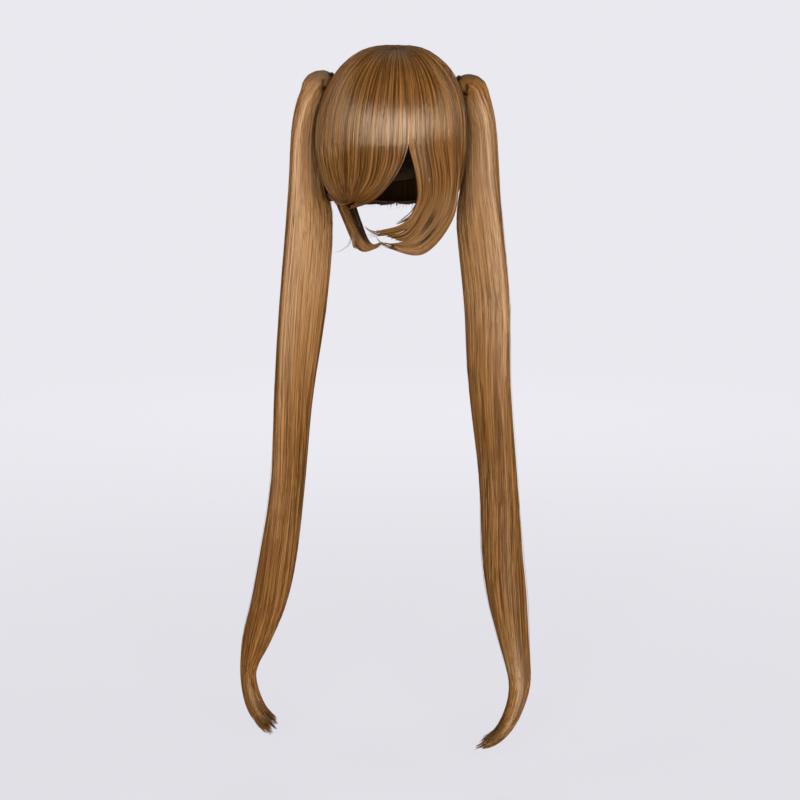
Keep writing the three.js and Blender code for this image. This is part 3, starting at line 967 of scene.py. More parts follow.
def grooves(u: Array, along: Array) -> tuple[Array, Array]:
    """Grooves of the head hair: three scales of noise, fine across the hair and stretched along it.

    Args:
        u: metres across.
        along: metres along.

    Returns:
        Height in metres, and tone from about -1 to 1, which follows the height as painted shade in the
        grooves.
    """
    waves = [noise(u / size, along / length, seed + 1) for seed, (size, length) in enumerate(GROOVE_SIZES)]
    height = sum(depth * wave for depth, wave in zip(GROOVE_DEPTHS, waves))
    return height, sum(tone * wave for tone, wave in zip(GROOVE_PAINTED_SHADES, waves))


@dataclass
class Lay:
    """A dense grid of a lock, rows by columns, to lay the form and the strands on."""

    outer: Array
    inner: Array
    away: Array
    along: Array
    across: Array

    def read(self, column: Array, row: Array) -> dict[str, Array]:
        """Everything at places between the grid's points.

        Args:
            column: places across, in columns.
            row: places along, in rows.

        Returns:
            Arrays by name, with u for the metres across.
        """
        found = {key: sample(getattr(self, key), column, row) for key in ("outer", "inner", "away")}
        found["away"] = unit(found["away"])
        found["along"] = sample(self.along[..., None], column, row)[..., 0]
        found["u"] = np.interp(column, np.arange(len(self.across)), self.across)
        return found


@dataclass
class Lock:
    """A mass of head hair that hangs down its guides.

    A place across it runs from 0 to 1 between its first and last guide, and a place along it counts the rows
    of its dense grid from the root to the tip.

    Attributes:
        notches: gaps in the ends, each the place across, its half width and its depth.
        hollows: painted shadow in the gaps between wisps, each the place across, its width, the place down
            and its length.
        dark_from: place across past which the hair lies in shadow, curled under its neighbours.
        stray: how far strands may reach past the form's end, as a share of its whole length.
        tilt: slope by which the strands below the widest line turn in towards the face, in the gloss only.
        lit: painted light on the underside of the curl: how much lighter the hair is towards its tips, in
            steps of shade.
    """

    name: str
    node: str
    guides: Array
    drop: float
    wall: float
    on_dome: bool
    width: float
    columns: int
    rows: int
    strands: int
    steps: int
    clumps: int
    ragged: float
    seed: int
    notches: tuple[Triple, ...] = ()
    hollows: tuple[tuple[float, float, float, float], ...] = ()
    dark_from: float = 2.0
    stray: float = 0.035
    tilt: float = 0.0
    lit: float = 0.0
    dome_rows: int = 40
    hang_rows: int = 48

    def hanging(self, across: Array) -> tuple[Array, Array]:
        """Outer and inner lines below the widest line.

        The guides are blended smoothly across, and each line is a curve through its five stations.

        Args:
            across: places across the lock.

        Returns:
            Rows by places of points, outside and inside.
        """
        places = np.arange(len(self.guides))
        guides = through(places, self.guides, across * (len(self.guides) - 1)).reshape(-1, 5, 3)
        full = HEAD.outside(HEAD.hair_wall)
        share = guides[..., 1].copy()
        if not self.on_dome:
            share[:, 0] *= self.under_share(guides[:, 0, 0], guides[:, 0, 2] * self.drop)
        stations = HEAD.beside(guides[..., 0], share, -HEAD.crown - guides[..., 2] * self.drop, full)
        at = np.linspace(0.0, 1.0, self.hang_rows + 1)
        outer = curve_through(stations.transpose(1, 0, 2), at)
        wall = mix(self.wall, HEAD.tip_wall, at)[:, None, None]
        return outer, HEAD.moved_in(outer, wall)

    def under_share(self, turn: Array, drop: Array) -> Array:
        """Share of the outside at which hair lies just inside the fringe.

        Args:
            turn: turn round the head in degrees.
            drop: metres below the widest line.

        Returns:
            Share of the outline.
        """
        full = HEAD.outside(HEAD.hair_wall)
        reach = np.hypot(full.side * np.sin(np.radians(turn)), full.front * np.cos(np.radians(turn)))
        return (reach - mix(HEAD.hair_wall, HEAD.tip_wall, drop / HEAD.fringe_drop) - HEAD.under_gap) / reach

    def root_turns(self, across: Array) -> Array:
        """Turn of the roots at places across."""
        places = np.arange(len(self.guides))
        return through(places, self.guides[:, :1], across * places[-1])[:, 0]

    def place_round(self, across: Array) -> Array:
        """Metres round the head of a place across, so that neighbouring locks share one pattern.

        Args:
            across: places across the lock.

        Returns:
            Metres at each place.
        """
        if self.on_dome:
            return np.radians(self.root_turns(across) + 90.0) * HEAD.length / 2
        return across * self.width

    def lay(self) -> Lay:
        """The dense grid of the lock, from the roots to the tips.

        Returns:
            The grid.
        """
        across = np.linspace(0.0, 1.0, self.columns)
        outer, inner = self.hanging(across)
        if self.on_dome:
            dome_outer, dome_inner = HEAD.dome_lines(self.root_turns(across), self.dome_rows)
            outer = np.concatenate([dome_outer, outer])
            inner = np.concatenate([dome_inner, inner])
        away = normals_of(outer)
        away *= np.sign(np.einsum("rci,rci->rc", away, outer - inner))[..., None]
        return Lay(outer, inner, away, run_of(outer), self.place_round(across))

    def ends(self, across: Array) -> Array:
        """How far down its line the hair ends at a place across, ragged as a row of pointed wisps.

        Each wisp is longest in its middle, and each has its own length.

        Args:
            across: places across the lock.

        Returns:
            Share of the line's length at each place.
        """
        place = across * self.clumps
        own = noise(np.floor(place) + 0.5, 0.5, self.seed + 11)
        off = np.abs(place - np.floor(place) - 0.5) * 2
        fine = np.abs(noise(across * self.clumps * 4.7, 3.5, self.seed + 12))
        end = 1.0 - self.ragged * (0.35 * off ** 1.5 + 0.35 * (own + 1) / 2 + 0.3 * fine)
        for middle, half, depth in self.notches:
            end = end - depth * np.clip(1.0 - np.abs(across - middle) / half, 0.0, 1.0) ** 0.6
        return end

    def form(self) -> MeshData:
        """The grooved form: outer and inner rows joined into closed rings.

        The outside is pushed out along its normal by the grooves, and the wall thins to an edge at the tips.

        Returns:
            The form's mesh.
        """
        lay = self.lay()
        total = len(lay.outer) - 1
        across = np.linspace(0.0, 1.0, self.columns)
        steps = np.linspace(0.0, 1.0, self.rows)[:, None]
        row = steps * total * (self.ends(across) - 0.012)
        column = np.broadcast_to(across * (self.columns - 1), row.shape)
        at = lay.read(column, row)
        height, shade = grooves(at["u"], at["along"])
        shade = shade + self.tip_painted_light(row / total)
        start = self.groove_start(at["along"])
        outside = at["outer"] + at["away"] * (height * start)[..., None]
        thin = mix(1.0, 0.1, smooth((steps - 0.72) / 0.28))[..., None]
        inside = outside + (at["inner"] - outside) * thin
        rings = np.concatenate([outside, inside[:, ::-1]], axis=1)
        flow = np.stack([at["u"], np.zeros_like(row), at["along"]], -1)
        root = self.root_dark(outside)
        deep = self.shadow(across, row / total)
        # The inner wall, which faces the head, gets painted shade: a darker tone and at least 0.72 of the
        # dull shader
        back_shade = -1.0 + 0.5 * shade[:, ::-1]
        back_deep = np.maximum(deep, 0.72)[:, ::-1]
        return closed_rings(rings, {
            "flow": np.concatenate([flow, flow[:, ::-1] + 0.5], axis=1),
            "shade": np.concatenate([shade, back_shade], axis=1),
            "root": np.concatenate([root, root[:, ::-1]], axis=1),
            "deep": np.concatenate([deep, back_deep], axis=1),
            "lean": np.concatenate([self.lean(row)] * 2, axis=1),
        })

    def root_dark(self, points: Array) -> Array:
        """Nearness to the whorl, where the hair is darker and duller, fading over 50 mm.

        Args:
            points: points of the hair.

        Returns:
            Nearness from 0 to 0.6.
        """
        if not self.on_dome:
            return np.zeros(points.shape[:-1])
        away = np.hypot(points[..., 0] - HEAD.whorl_side, points[..., 1] + HEAD.whorl_front)
        return 0.6 * (1.0 - smooth((away - 0.006) / 0.05)) * (points[..., 2] > -0.08)

    def groove_start(self, along: Array) -> Any:
        """Share of the grooves' depth, which grows over the first 90 mm from the whorl."""
        return smooth(along / 0.09) if self.on_dome else 1.0

    def tip_painted_light(self, down: Array) -> Array:
        """Painted light that the tips have over the rest, as tone, rising from 0.55 to 0.85 of the way down.
        """
        return self.lit * smooth((down - 0.55) / 0.3)

    def lean(self, row: Array) -> Array:
        """Height in metres of the turn of the strands below the widest line.

        It is -tilt * 0.045 * (smooth(p) + 0.35 p), where p runs from 0 at the widest line to 1 at the tips.

        Args:
            row: places along, in rows of the grid.

        Returns:
            Height at each place.
        """
        start = self.dome_rows if self.on_dome else 0
        past = np.clip((row - start) / self.hang_rows, 0.0, 1.0)
        return -self.tilt * (smooth(past) + 0.35 * past) * 0.045

    def shadow(self, across: Array, down: Array) -> Array:
        """Depth of the shadow in which the hair lies, from 0 to 1.

        It is deep past dark_from, except at the tips, and in the hollows, where each one adds
        1.3 exp(-((across - middle) / width)^2 - ((down - place) / length)^2).

        Args:
            across: places across the lock.
            down: places down it, from 0 to 1.

        Returns:
            Depth at each place.
        """
        deep = smooth((across - self.dark_from) / 0.16) * (1.0 - smooth((down - 0.62) / 0.2))
        for middle, wide, place, length in self.hollows:
            deep = deep + 1.3 * np.exp(-((across - middle) / wide) ** 2 - ((down - place) / length) ** 2)
        return np.clip(deep, 0.0, 1.0)

    def strand_mesh(self) -> MeshData:
        """Single strands along the form: each has its own start, drifts a little and is gathered at its tip.

        The line of a strand is the form's line at its own place across, which moves towards the middle of
        its wisp over the last third. It is lifted off the form by a fraction of a millimetre.

        Returns:
            The strands' mesh.
        """
        rng = np.random.default_rng(self.seed + 21)
        lay = self.lay()
        total = len(lay.outer) - 1
        n = self.strands
        u = (np.arange(n) + rng.random(n)) / n
        begin = np.where(rng.random(n) < 0.3, 0.0, rng.uniform(0.06, 0.42, n))
        if not self.on_dome:
            begin = rng.uniform(0.0, 0.12, n)
        finish = self.ends(u) + rng.uniform(-0.05, self.stray, n)
        early = rng.random(n) < 0.2
        finish = np.where(early, finish - rng.uniform(0.02, 0.25, n), finish)
        t = np.linspace(0.0, 1.0, self.steps)[None]
        place = mix(begin[:, None], finish[:, None], t)
        own = np.arange(n)[:, None] * 1.618
        drift = noise(own * 7.0, t * 3.0, self.seed + 22) * 0.0009 / self.width
        centre = (np.floor(u * self.clumps) + 0.5) / self.clumps
        gather = smooth((place - 0.72) / 0.28) * 0.45
        across = np.clip(mix(u[:, None] + drift, centre[:, None], gather), 0.0, 1.0)
        at = lay.read(across * (self.columns - 1), place * total)
        height, _ = grooves(at["u"], at["along"])
        lift = rng.uniform(-0.0001, 0.0004, n)[:, None] + noise(own, t * 4.0, self.seed + 23) * 0.0002
        loose = np.where(rng.random(n) < 0.02, rng.uniform(0.0006, 0.0018, n), 0.0)[:, None]
        lift += loose * np.sin(t * math.pi)
        height = height * self.groove_start(at["along"]) + lift * smooth(t / 0.12)
        lines = at["outer"] + at["away"] * height[..., None]
        width = rng.uniform(0.00022, 0.00046, n)[:, None]
        spread = 1.0
        if self.on_dome:
            away = np.hypot(at["outer"][..., 0], at["outer"][..., 1] + HEAD.whorl_front)
            spread = np.where(at["outer"][..., 2] > -0.07, mix(0.25, 1.0, smooth(away / 0.07)), 1.0)
        radius = width * spread * taper(t, 0.25, 0.2, 0.15, 0.75)
        offset = rng.uniform(-0.0006, 0.0006, n)[:, None]
        flow = np.stack([at["u"] + offset, np.zeros_like(place), at["along"]], -1)
        deep = self.shadow(across, place) * (rng.random(n) < 0.88)[:, None]
        slope = rng.normal(0.0, 0.06, n)[:, None]
        return strand_tubes(lines, at["away"], radius, {
            "flow": flow,
            "shade": rng.normal(0.0, 1.3, n)[:, None] + self.tip_painted_light(place),
            "root": self.root_dark(lines),
            "deep": deep,
            "lean": self.lean(place * total) + slope * at["along"],
        })

    def build(self, wardrobe: Wardrobe) -> None:
        """Makes and dresses the form and its strands."""
        wardrobe.dress(self.form().make(self.name), Finish.HEAD_HAIR, self.node)
        wardrobe.dress(self.strand_mesh().make(self.name + "_strands"), Finish.HEAD_HAIR)


@dataclass
class BackHair(Lock):
    """Side and back hair, from the whorl to its ends at the nape."""

    def root_turns(self, across: Array) -> Array:
        """Turns spaced evenly from the first to the last end."""
        return mix(BACK_ENDS[0, 0], BACK_ENDS[-1, 0], across)

    def hanging(self, across: Array) -> tuple[Array, Array]:
        """Lines straight down from the widest line, tucked in towards the nape.

        Args:
            across: places across the hair.

        Returns:
            Rows by places of points, outside and inside.
        """
        turns = self.root_turns(across)
        full = HEAD.outside(HEAD.hair_wall)
        drop = through(BACK_ENDS[:, 0], BACK_ENDS[:, 1:], turns)[:, 0] * HEAD.nape_drop
        down = np.linspace(0.0, 1.0, self.hang_rows + 1)[:, None]
        fall = down * drop
        share = 1 - HEAD.nape_tuck * (fall / HEAD.nape_drop) ** HEAD.nape_power
        outer = HEAD.beside(np.broadcast_to(turns, fall.shape), share, -HEAD.crown - fall, full)
        wall = mix(HEAD.hair_wall, HEAD.tip_wall, down)[..., None]
        return outer, HEAD.moved_in(outer, wall)


@dataclass
class Wisps:
    """Loose bunches of strands, each along a curve through its stations in mm.

    A strand's offset is side * a * width / 2 + up * b * width / 6, and closes up towards the tip.
    """

    name: str
    paths: tuple[tuple[float, int, tuple[Triple, ...]], ...]
    seed: int = 800
    steps: int = 26

    def strand_mesh(self) -> MeshData:
        """All bunches as one mesh.

        Returns:
            The strands' mesh.
        """
        rng = np.random.default_rng(self.seed)
        groups: dict[str, list[Array]] = {"line": [], "up": [], "radius": [], "own": [], "run": []}
        t = np.linspace(0.0, 1.0, self.steps)
        for width, count, stations in self.paths:
            middle = curve_through(np.array(stations)[:, None] / 1000.0, t)[:, 0]
            ahead = unit(np.gradient(middle, axis=0))
            up = unit(np.stack([middle[:, 0], middle[:, 1], np.zeros(self.steps)], -1))
            side = unit(np.cross(ahead, up))
            a = rng.uniform(-1.0, 1.0, count)[:, None]
            b = rng.uniform(-1.0, 1.0, count)[:, None]
            close = mix(1.0, rng.uniform(0.05, 0.6, count)[:, None], smooth((t[None] - 0.35) / 0.65))
            wave = noise(np.arange(count)[:, None] * 3.3, t[None] * 3.0, self.seed + 1) * 0.25
            across = (a * close + wave)[..., None] * side[None] * width / 2
            height = (b * close)[..., None] * up[None] * width / 6
            cut = rng.uniform(0.82, 1.0, count)[:, None, None]
            full = middle[None] + across + height
            groups["line"].append(full + (cut - 1.0) * t[None, :, None] * 0.004 * ahead[None])
            groups["up"].append(np.broadcast_to(up, full.shape))
            thick = rng.uniform(0.00016, 0.00034, count)[:, None] * (1.0 if count > 4 else 0.6)
            groups["radius"].append(thick * taper(t, 0.5, 0.15, 0.12, 0.6))
            groups["own"].append(rng.normal(0.0, 1.2, count))
            groups["run"].append(np.broadcast_to(t * 0.06, (count, self.steps)))
        whole = {key: np.concatenate(value) for key, value in groups.items()}
        own = np.broadcast_to(whole["own"][:, None], whole["run"].shape)
        none = np.zeros(own.shape)
        flow = np.stack([own * 0.01, none, whole["run"]], -1)
        values = {"flow": flow, "shade": own, "root": none, "deep": none, "lean": none}
        return strand_tubes(whole["line"], whole["up"], whole["radius"], values)

    def build(self, wardrobe: Wardrobe) -> None:
        """Makes and dresses the wisps."""
        wardrobe.dress(self.strand_mesh().make(self.name), Finish.HEAD_HAIR)


@dataclass
class Tail:
    """A clip-on tail: a fountain over the clip, then one long lock that hangs, swings out and curls forward.

    A section is an ellipse across the path: middle + out * thick * sin a + back * deep * cos a.
    """

    name: str
    node: str
    sections: Array
    side: int
    seed: int
    fall: float = 0.760
    spread: float = 0.090
    thickness: float = 0.040
    depth: float = 0.076
    stand_off: float = 0.00095
    join_rise: float = 0.062
    join_back: float = 0.015
    columns: int = 170
    rows: int = 150
    strands: int = 900
    steps: int = 32
    locks: int = 9
    tufts: int = 9
    splay: float = 1.7
    lean: float = 0.22
    bend: float = 0.055
    form_end: float = 0.982

    def stations(self, t: Array) -> dict[str, Array]:
        """Middle, directions and half sizes of the sections at places from 0 to 1 down the tail.

        Args:
            t: places down the tail.

        Returns:
            Arrays by name: middle, ahead, out, back, thick and deep.
        """
        s = self.sections
        z = self.join_rise - HEAD.crown - s[:, 0] * self.fall
        y = self.join_back + s[:, 3] * self.depth
        thick = s[:, 4] * self.thickness / 2
        x = self.side * (HEAD.hair_side(z, self.side, self.join_back) + self.stand_off + s[:, 1] * thick
                         + s[:, 2] * self.spread)
        path = np.stack([x, y, z], -1)[:, None]
        tiny = 1e-4
        middle = curve_through(path, t)[:, 0]
        before = curve_through(path, np.maximum(t - tiny, 0))[:, 0]
        ahead = unit(curve_through(path, t + tiny)[:, 0] - before)
        held = np.clip(t, 0, 1) * (len(s) - 1)
        rows = through(np.arange(len(s)), s[:, 4:7], held)
        back = unit(np.array([0.0, 1.0, 0.0]) - ahead * ahead[:, 1:2])
        out = unit(np.cross(back, ahead) * -self.side)
        angle = np.radians(rows[:, 2:3])
        return {
            "middle": middle,
            "ahead": ahead,
            "out": out * np.cos(angle) + back * np.sin(angle),
            "back": back * np.cos(angle) - out * np.sin(angle),
            "thick": rows[:, 0] * self.thickness / 2,
            "deep": rows[:, 1] * self.depth / 2,
        }

    def place(self, grid: dict[str, Array], angle: Array, above: Array, scale: Array) -> tuple[Array, Array]:
        """Points on the sections and the directions away from their middles.

        Args:
            grid: what stations gave, with each array shaped as angle, or broadcast to it.
            angle: angle round each section.
            above: height above the section's outline.
            scale: size of the outline as a share of its own.

        Returns:
            The points, and the directions.
        """
        thick = grid["thick"][..., None] * scale[..., None]
        deep = grid["deep"][..., None] * scale[..., None]
        sine = np.sin(angle)[..., None]
        cosine = np.cos(angle)[..., None]
        away = unit(grid["out"] * sine * deep + grid["back"] * cosine * thick)
        flat = grid["out"] * sine * thick + grid["back"] * cosine * deep
        return grid["middle"] + flat + away * above[..., None], away

    def groove(self, angle: Array, along: Array) -> Array:
        """Height of the locks and grooves round the tail: three scales of noise, stretched along it.

        Args:
            angle: angle round the tail.
            along: metres along it.

        Returns:
            Height in metres.
        """
        turn = angle / FULL_TURN
        low = smooth(along / 0.12)
        broad = noise(turn * self.locks + along * 1.6, along / 0.26, self.seed + 1, self.locks)
        middle = noise(turn * 34, along / 0.16, self.seed + 2, 34)
        fine = noise(turn * 88, along / 0.10, self.seed + 3, 88)
        return 0.0015 * broad * low + (0.0006 * middle + 0.00028 * fine) * mix(0.5, 1.0, low)

    def lengths(self) -> tuple[Array, Array]:
        """Places down the tail and the metres along it at each.

        Returns:
            Places, and metres.
        """
        t = np.linspace(0.0, 1.05, 400)
        middle = self.stations(t)["middle"]
        return t, np.concatenate([[0.0], np.cumsum(np.linalg.norm(np.diff(middle, axis=0), axis=1))])

    def in_pattern(self, points: Array, grid: dict[str, Array], along: Array) -> Array:
        """Place in the hair's pattern: out and back on a mean round section, and metres along the tail.

        Args:
            points: points of the hair.
            grid: what stations gave for them.
            along: metres along the tail.

        Returns:
            Three numbers a point.
        """
        off = points - grid["middle"]
        around = (self.thickness + self.depth) / 4
        return np.stack([(off * grid["out"]).sum(-1) / grid["thick"] * around,
                         (off * grid["back"]).sum(-1) / grid["deep"] * around,
                         (off * grid["ahead"]).sum(-1) + along], -1)

    def flow(self, points: Array, grid: dict[str, Array], t: Array) -> Array:
        """Place in the hair's pattern, which hangs straight over the bend at the top of the fountain.

        Args:
            points: points of the hair.
            grid: what stations gave for them.
            t: places down the tail.

        Returns:
            Three numbers a point.
        """
        lower = self.in_pattern(points, grid, np.interp(t, *self.lengths()))
        end = {key: value[0] for key, value in self.stations(np.array([self.bend])).items()}
        upper = self.in_pattern(points, end, np.interp(self.bend, *self.lengths()))
        return mix(upper, lower, smooth((t - self.bend + 0.01) / 0.02)[..., None])

    def shadow(self, angle: Array, t: Array) -> Array:
        """Depth of the shadow, from 0 to 1: at the root, and towards the head on the curl at the end.

        Args:
            angle: angle round the tail.
            t: places down it.

        Returns:
            Depth at each place.
        """
        inner = smooth(-np.sin(angle) * 1.2 - 0.1)
        curl = smooth((t - 0.86) / 0.06) * inner * 0.62
        top = (1.0 - smooth((t - 0.006) / 0.012)) * 0.4
        return np.clip(curl + top, 0.0, 1.0)

    def turned(self, along: Array) -> Array:
        """Height whose slope is the lean, falling away over the tail's middle, in the gloss only.

        Args:
            along: metres along the tail.

        Returns:
            Height in metres.
        """
        run = np.linspace(0.0, 1.2, 400)
        slope = self.lean * (1.0 - 0.85 * smooth((run - 0.20) / 0.42))
        return np.interp(along, run, np.cumsum(slope) * run[1])

    def groove_start(self, t: Array) -> Array:
        """Share of the grooves' depth, which grows from the root."""
        return mix(0.15, 1.0, smooth(t / 0.03))

    def top_painted_shade(self, points: Array) -> Array:
        """Nearness to the top of the fountain, where the hair turns over and is darker in painted shade."""
        return 0.7 * smooth((points[..., 2] + HEAD.crown - self.join_rise + 0.001) / 0.008)

    def tone_with_painted_light(self, angle: Array, along: Array, shade: Array) -> Array:
        """Tone of the hair: painted light in front, on the side towards the head, against the shade of the
        tail's round, and darker low down.

        Args:
            angle: angle round the tail.
            along: metres along it.
            shade: the hair's own tone.

        Returns:
            The tone at each place.
        """
        front = smooth(0.35 - np.sin(angle)) * smooth(0.4 - np.cos(angle))
        return shade + 0.9 * front - 0.8 * smooth((along - 0.22) / 0.28)

    def form(self) -> MeshData:
        """The grooved form of the tail, ending in a point inside its wisps.

        Returns:
            The form's mesh.
        """
        t = np.linspace(0.0, self.form_end, self.rows) ** 1.05
        grid = self.stations(t)
        along = np.interp(t, *self.lengths())[:, None]
        angle = np.arange(self.columns)[None] * FULL_TURN / self.columns
        wide = {k: v[:, None] for k, v in grid.items()}
        height = self.groove(angle, along)
        small = mix(1.0, 0.5, smooth((t[:, None] - 0.94) / 0.04))
        height = height * self.groove_start(t)[:, None] * small
        rings, _ = self.place(wide, angle, height, small)
        return closed_rings(rings, {
            "flow": self.flow(rings, wide, t[:, None]),
            # the grooves' height darkens the tone where they sink: painted shade between the locks
            "shade": self.tone_with_painted_light(angle, along, height / 0.0008),
            "root": self.top_painted_shade(rings),
            "deep": self.shadow(angle, t[:, None]),
            "lean": np.broadcast_to(self.turned(along), height.shape),
        })

    def strand_mesh(self) -> MeshData:
        """Single strands round the tail: each at its own angle and depth, drifting slowly, with its own end.

        Over the last tenth the strands gather in tufts and splay out.

        Returns:
            The strands' mesh.
        """
        rng = np.random.default_rng(self.seed + 31)
        n = self.strands
        begin_angle = (np.arange(n) + rng.random(n)) / n * FULL_TURN
        tuft = np.floor(begin_angle / FULL_TURN * self.tufts)
        tuft_end = rng.uniform(-0.022, 0.012, self.tufts)[tuft.astype(int)]
        is_long = rng.random(n) < 0.8
        finish = np.where(is_long, rng.uniform(0.965, 1.003, n) + tuft_end, rng.uniform(0.70, 0.97, n))
        is_whole = rng.random(n) < 0.55
        begin = np.where(is_whole, rng.uniform(0.03, 0.06, n), rng.uniform(0.04, 0.5, n))
        slope = rng.normal(0.0, 0.05, n)[:, None]
        k = np.linspace(0.0, 1.0, self.steps)[None]
        t = mix(begin[:, None], finish[:, None], k)
        grid = {key: value.reshape(n, self.steps, -1) for key, value in self.stations(t.ravel()).items()}
        grid["thick"] = grid["thick"][..., 0]
        grid["deep"] = grid["deep"][..., 0]
        own = np.arange(n)[:, None] * 2.7
        angle = begin_angle[:, None] + noise(own, t * 6.0, self.seed + 32) * 0.10
        centre = (tuft[:, None] + 0.5) / self.tufts * FULL_TURN
        late = smooth((t - 0.90) / 0.1)
        angle = mix(angle, centre, late * 0.55)
        along = np.interp(t, *self.lengths())
        is_loose = rng.random(n) < 0.008
        loose = np.where(is_loose, rng.uniform(0.001, 0.0028, n), 0.0)[:, None]
        lift = rng.uniform(-0.0002, 0.0005, n)[:, None] * smooth(k / 0.1) + loose * np.sin(k * math.pi) ** 2
        inward = rng.random(n)[:, None] ** 0.7
        splay = mix(1.0, mix(0.25, self.splay, inward), smooth((t - 0.935) / 0.055))
        base = self.groove(angle % FULL_TURN, along) * self.groove_start(t)
        lines, up = self.place(grid, angle, base * np.minimum(splay, 1.0) + lift, splay)
        width = rng.uniform(0.00026, 0.00052, n)[:, None]
        width = np.where(is_loose[:, None], width * 0.5, width)
        radius = width * taper(k, 0.5, 0.15, 0.35, 0.86)
        offset = rng.uniform(-0.0006, 0.0006, n)[:, None, None]
        # own tone, with the grooves' height as painted shade between the locks
        tone = rng.normal(0.0, 1.3, n)[:, None] + base / 0.0012
        return strand_tubes(lines, up, radius, {
            "flow": self.flow(lines, grid, t) + offset,
            "shade": self.tone_with_painted_light(angle, along, tone),
            "root": self.top_painted_shade(lines),
            "deep": self.shadow(angle, t),
            "lean": self.turned(along) + slope * along,
        })

    def build(self, wardrobe: Wardrobe) -> None:
        """Makes and dresses the tail and its strands."""
        wardrobe.dress(self.form().make(self.name), Finish.TAIL_HAIR, self.node)
        wardrobe.dress(self.strand_mesh().make(self.name + "_strands"), Finish.TAIL_HAIR)


@dataclass
class Clip:
    """Curved black jaw over the root of a tail, with rounded edges and a row of ribs.

    A point is middle + out * (thick + clear) * cos a + back * (deep + clear) * sin a, where clear is the gap
    inside, and outside it is the gap and a bulge that falls away at every edge.
    """

    name: str
    node: str
    tail: Tail
    reach: float = 0.036
    gap: float = 0.0008
    wall: float = 0.0015
    first: float = -46.0
    last: float = 90.0
    columns: int = 72
    rows: int = 18

    def build(self, wardrobe: Wardrobe) -> None:
        """Makes and dresses the clip.

        Args:
            wardrobe: hands the clip over to the frame.
        """
        t = np.linspace(0.0, 1.0, self.rows)[:, None]
        s = np.linspace(0.0, 1.0, self.columns)[None]
        held = self.tail.stations(t[:, 0] * self.reach)
        edge = (1 - np.abs(2 * t - 1) ** 6) ** 0.5 * (1 - np.abs(2 * s - 1) ** 14) ** 0.5
        ribs = 0.00022 * np.cos(s * 22 * math.pi) * smooth(1.3 - 2.6 * np.abs(t - 0.5))
        bulge = self.wall * mix(0.18, 1.0, edge) + ribs * edge
        angle = np.radians(mix(self.first, self.last, s))[..., None]
        wide = {key: value[:, None] for key, value in held.items()}
        grids = []
        for clear in (self.gap + bulge, np.full_like(bulge, self.gap)):
            across = (wide["thick"][..., None] + clear[..., None]) * np.cos(angle)
            behind = (wide["deep"][..., None] + clear[..., None]) * np.sin(angle)
            grids.append(wide["middle"] + wide["out"] * across + wide["back"] * behind)
        rings = np.concatenate([grids[0], grids[1][:, ::-1]], axis=1)
        wardrobe.dress(closed_rings(rings, {}).make(self.name), Finish.CLIP, self.node)


@dataclass
class NetCap:
    """Stretch net cap: a thin dome with sewn rows inside and a band round its rim.

    A line of the cap runs from the crown down the dome to the widest line, and from there down to its rim.
    """

    columns: int = 180
    rows: int = 72
    row_pitch: float = 0.0105
    row_height: float = 0.0006
    band: float = 0.009
    band_height: float = 0.0007
    sunk: float = 0.0004
    pattern_radius: float = 0.085
    cut_side: float = 0.270
    cut_area: float = 0.0524

    def lines(self, layer: Layer) -> Array:
        """Rows by columns of points from the crown to the rim, evenly spaced down each line.

        Args:
            layer: the dome that they lie on.

        Returns:
            Rows by columns of points.
        """
        turns = np.linspace(-180.0, 180.0, self.columns, endpoint=False)
        rise = through(CAP_RIM[:, 0], CAP_RIM[:, 1:], np.abs(turns))[:, 0] * HEAD.crown
        over = np.clip(rise, 0.0, None)
        reach = (1 - (over / layer.rise) ** HEAD.power) ** (1 / HEAD.power)
        share = np.sin(np.linspace(0.03, 1.0, 60)[:, None] * np.arcsin(reach))
        angle = np.radians(turns)
        dome = HEAD.dome(share * np.sin(angle), -share * np.cos(angle), layer)
        drop = np.linspace(0.0, 1.0, 25)[1:, None] * np.clip(-rise, 0.0, None)
        tuck = 1 - HEAD.nape_tuck * (drop / HEAD.nape_drop) ** HEAD.nape_power
        low = HEAD.beside(np.broadcast_to(turns, drop.shape), tuck, -HEAD.crown - drop, layer)
        line = np.concatenate([dome, low])
        run = run_of(line)
        even = np.linspace(0.0, 1.0, self.rows)[:, None] * run[-1]
        before = np.clip((run[None] <= even[:, None]).sum(1) - 1, 0, len(run) - 2)
        near, far = (np.take_along_axis(run, before + step, 0) for step in (0, 1))
        share = ((even - near) / np.maximum(far - near, 1e-12))[..., None]
        above, below = (np.take_along_axis(line, (before + step)[..., None], 0) for step in (0, 1))
        return mix(above, below, share)

    def build(self, wardrobe: Wardrobe) -> None:
        """Args:
            wardrobe: hands the cap over to the frame.
        """
        outer = self.lines(HEAD.layer(HEAD.net_wall))
        inner = self.lines(HEAD.layer(0.0))
        run = run_of(inner)
        rim = smooth((run - run[-1:] + self.band) / 0.0015)
        sewn = np.exp(-((run / self.row_pitch) % 1.0 - 0.5) ** 2 / 0.012) * (1 - rim)
        swell = sewn * self.row_height + rim * self.band_height
        wall = unit(inner - outer)
        inside = inner + wall * (swell - self.sunk)[..., None]
        rings = np.concatenate([outer, inside[::-1]])
        turns = np.arange(self.columns) * FULL_TURN / self.columns
        round_head = np.broadcast_to(turns * self.pattern_radius, run.shape)
        flow = np.stack([round_head, np.zeros(run.shape), run], -1)
        tape = np.maximum(rim, sewn * 0.8)
        cap = closed_rings(rings, {"flow": np.concatenate([flow, flow[::-1]]),
                                   "shade": np.concatenate([tape, tape[::-1]])}).make("net_cap")
        wardrobe.dress(cap, Finish.NET, "cap_net")


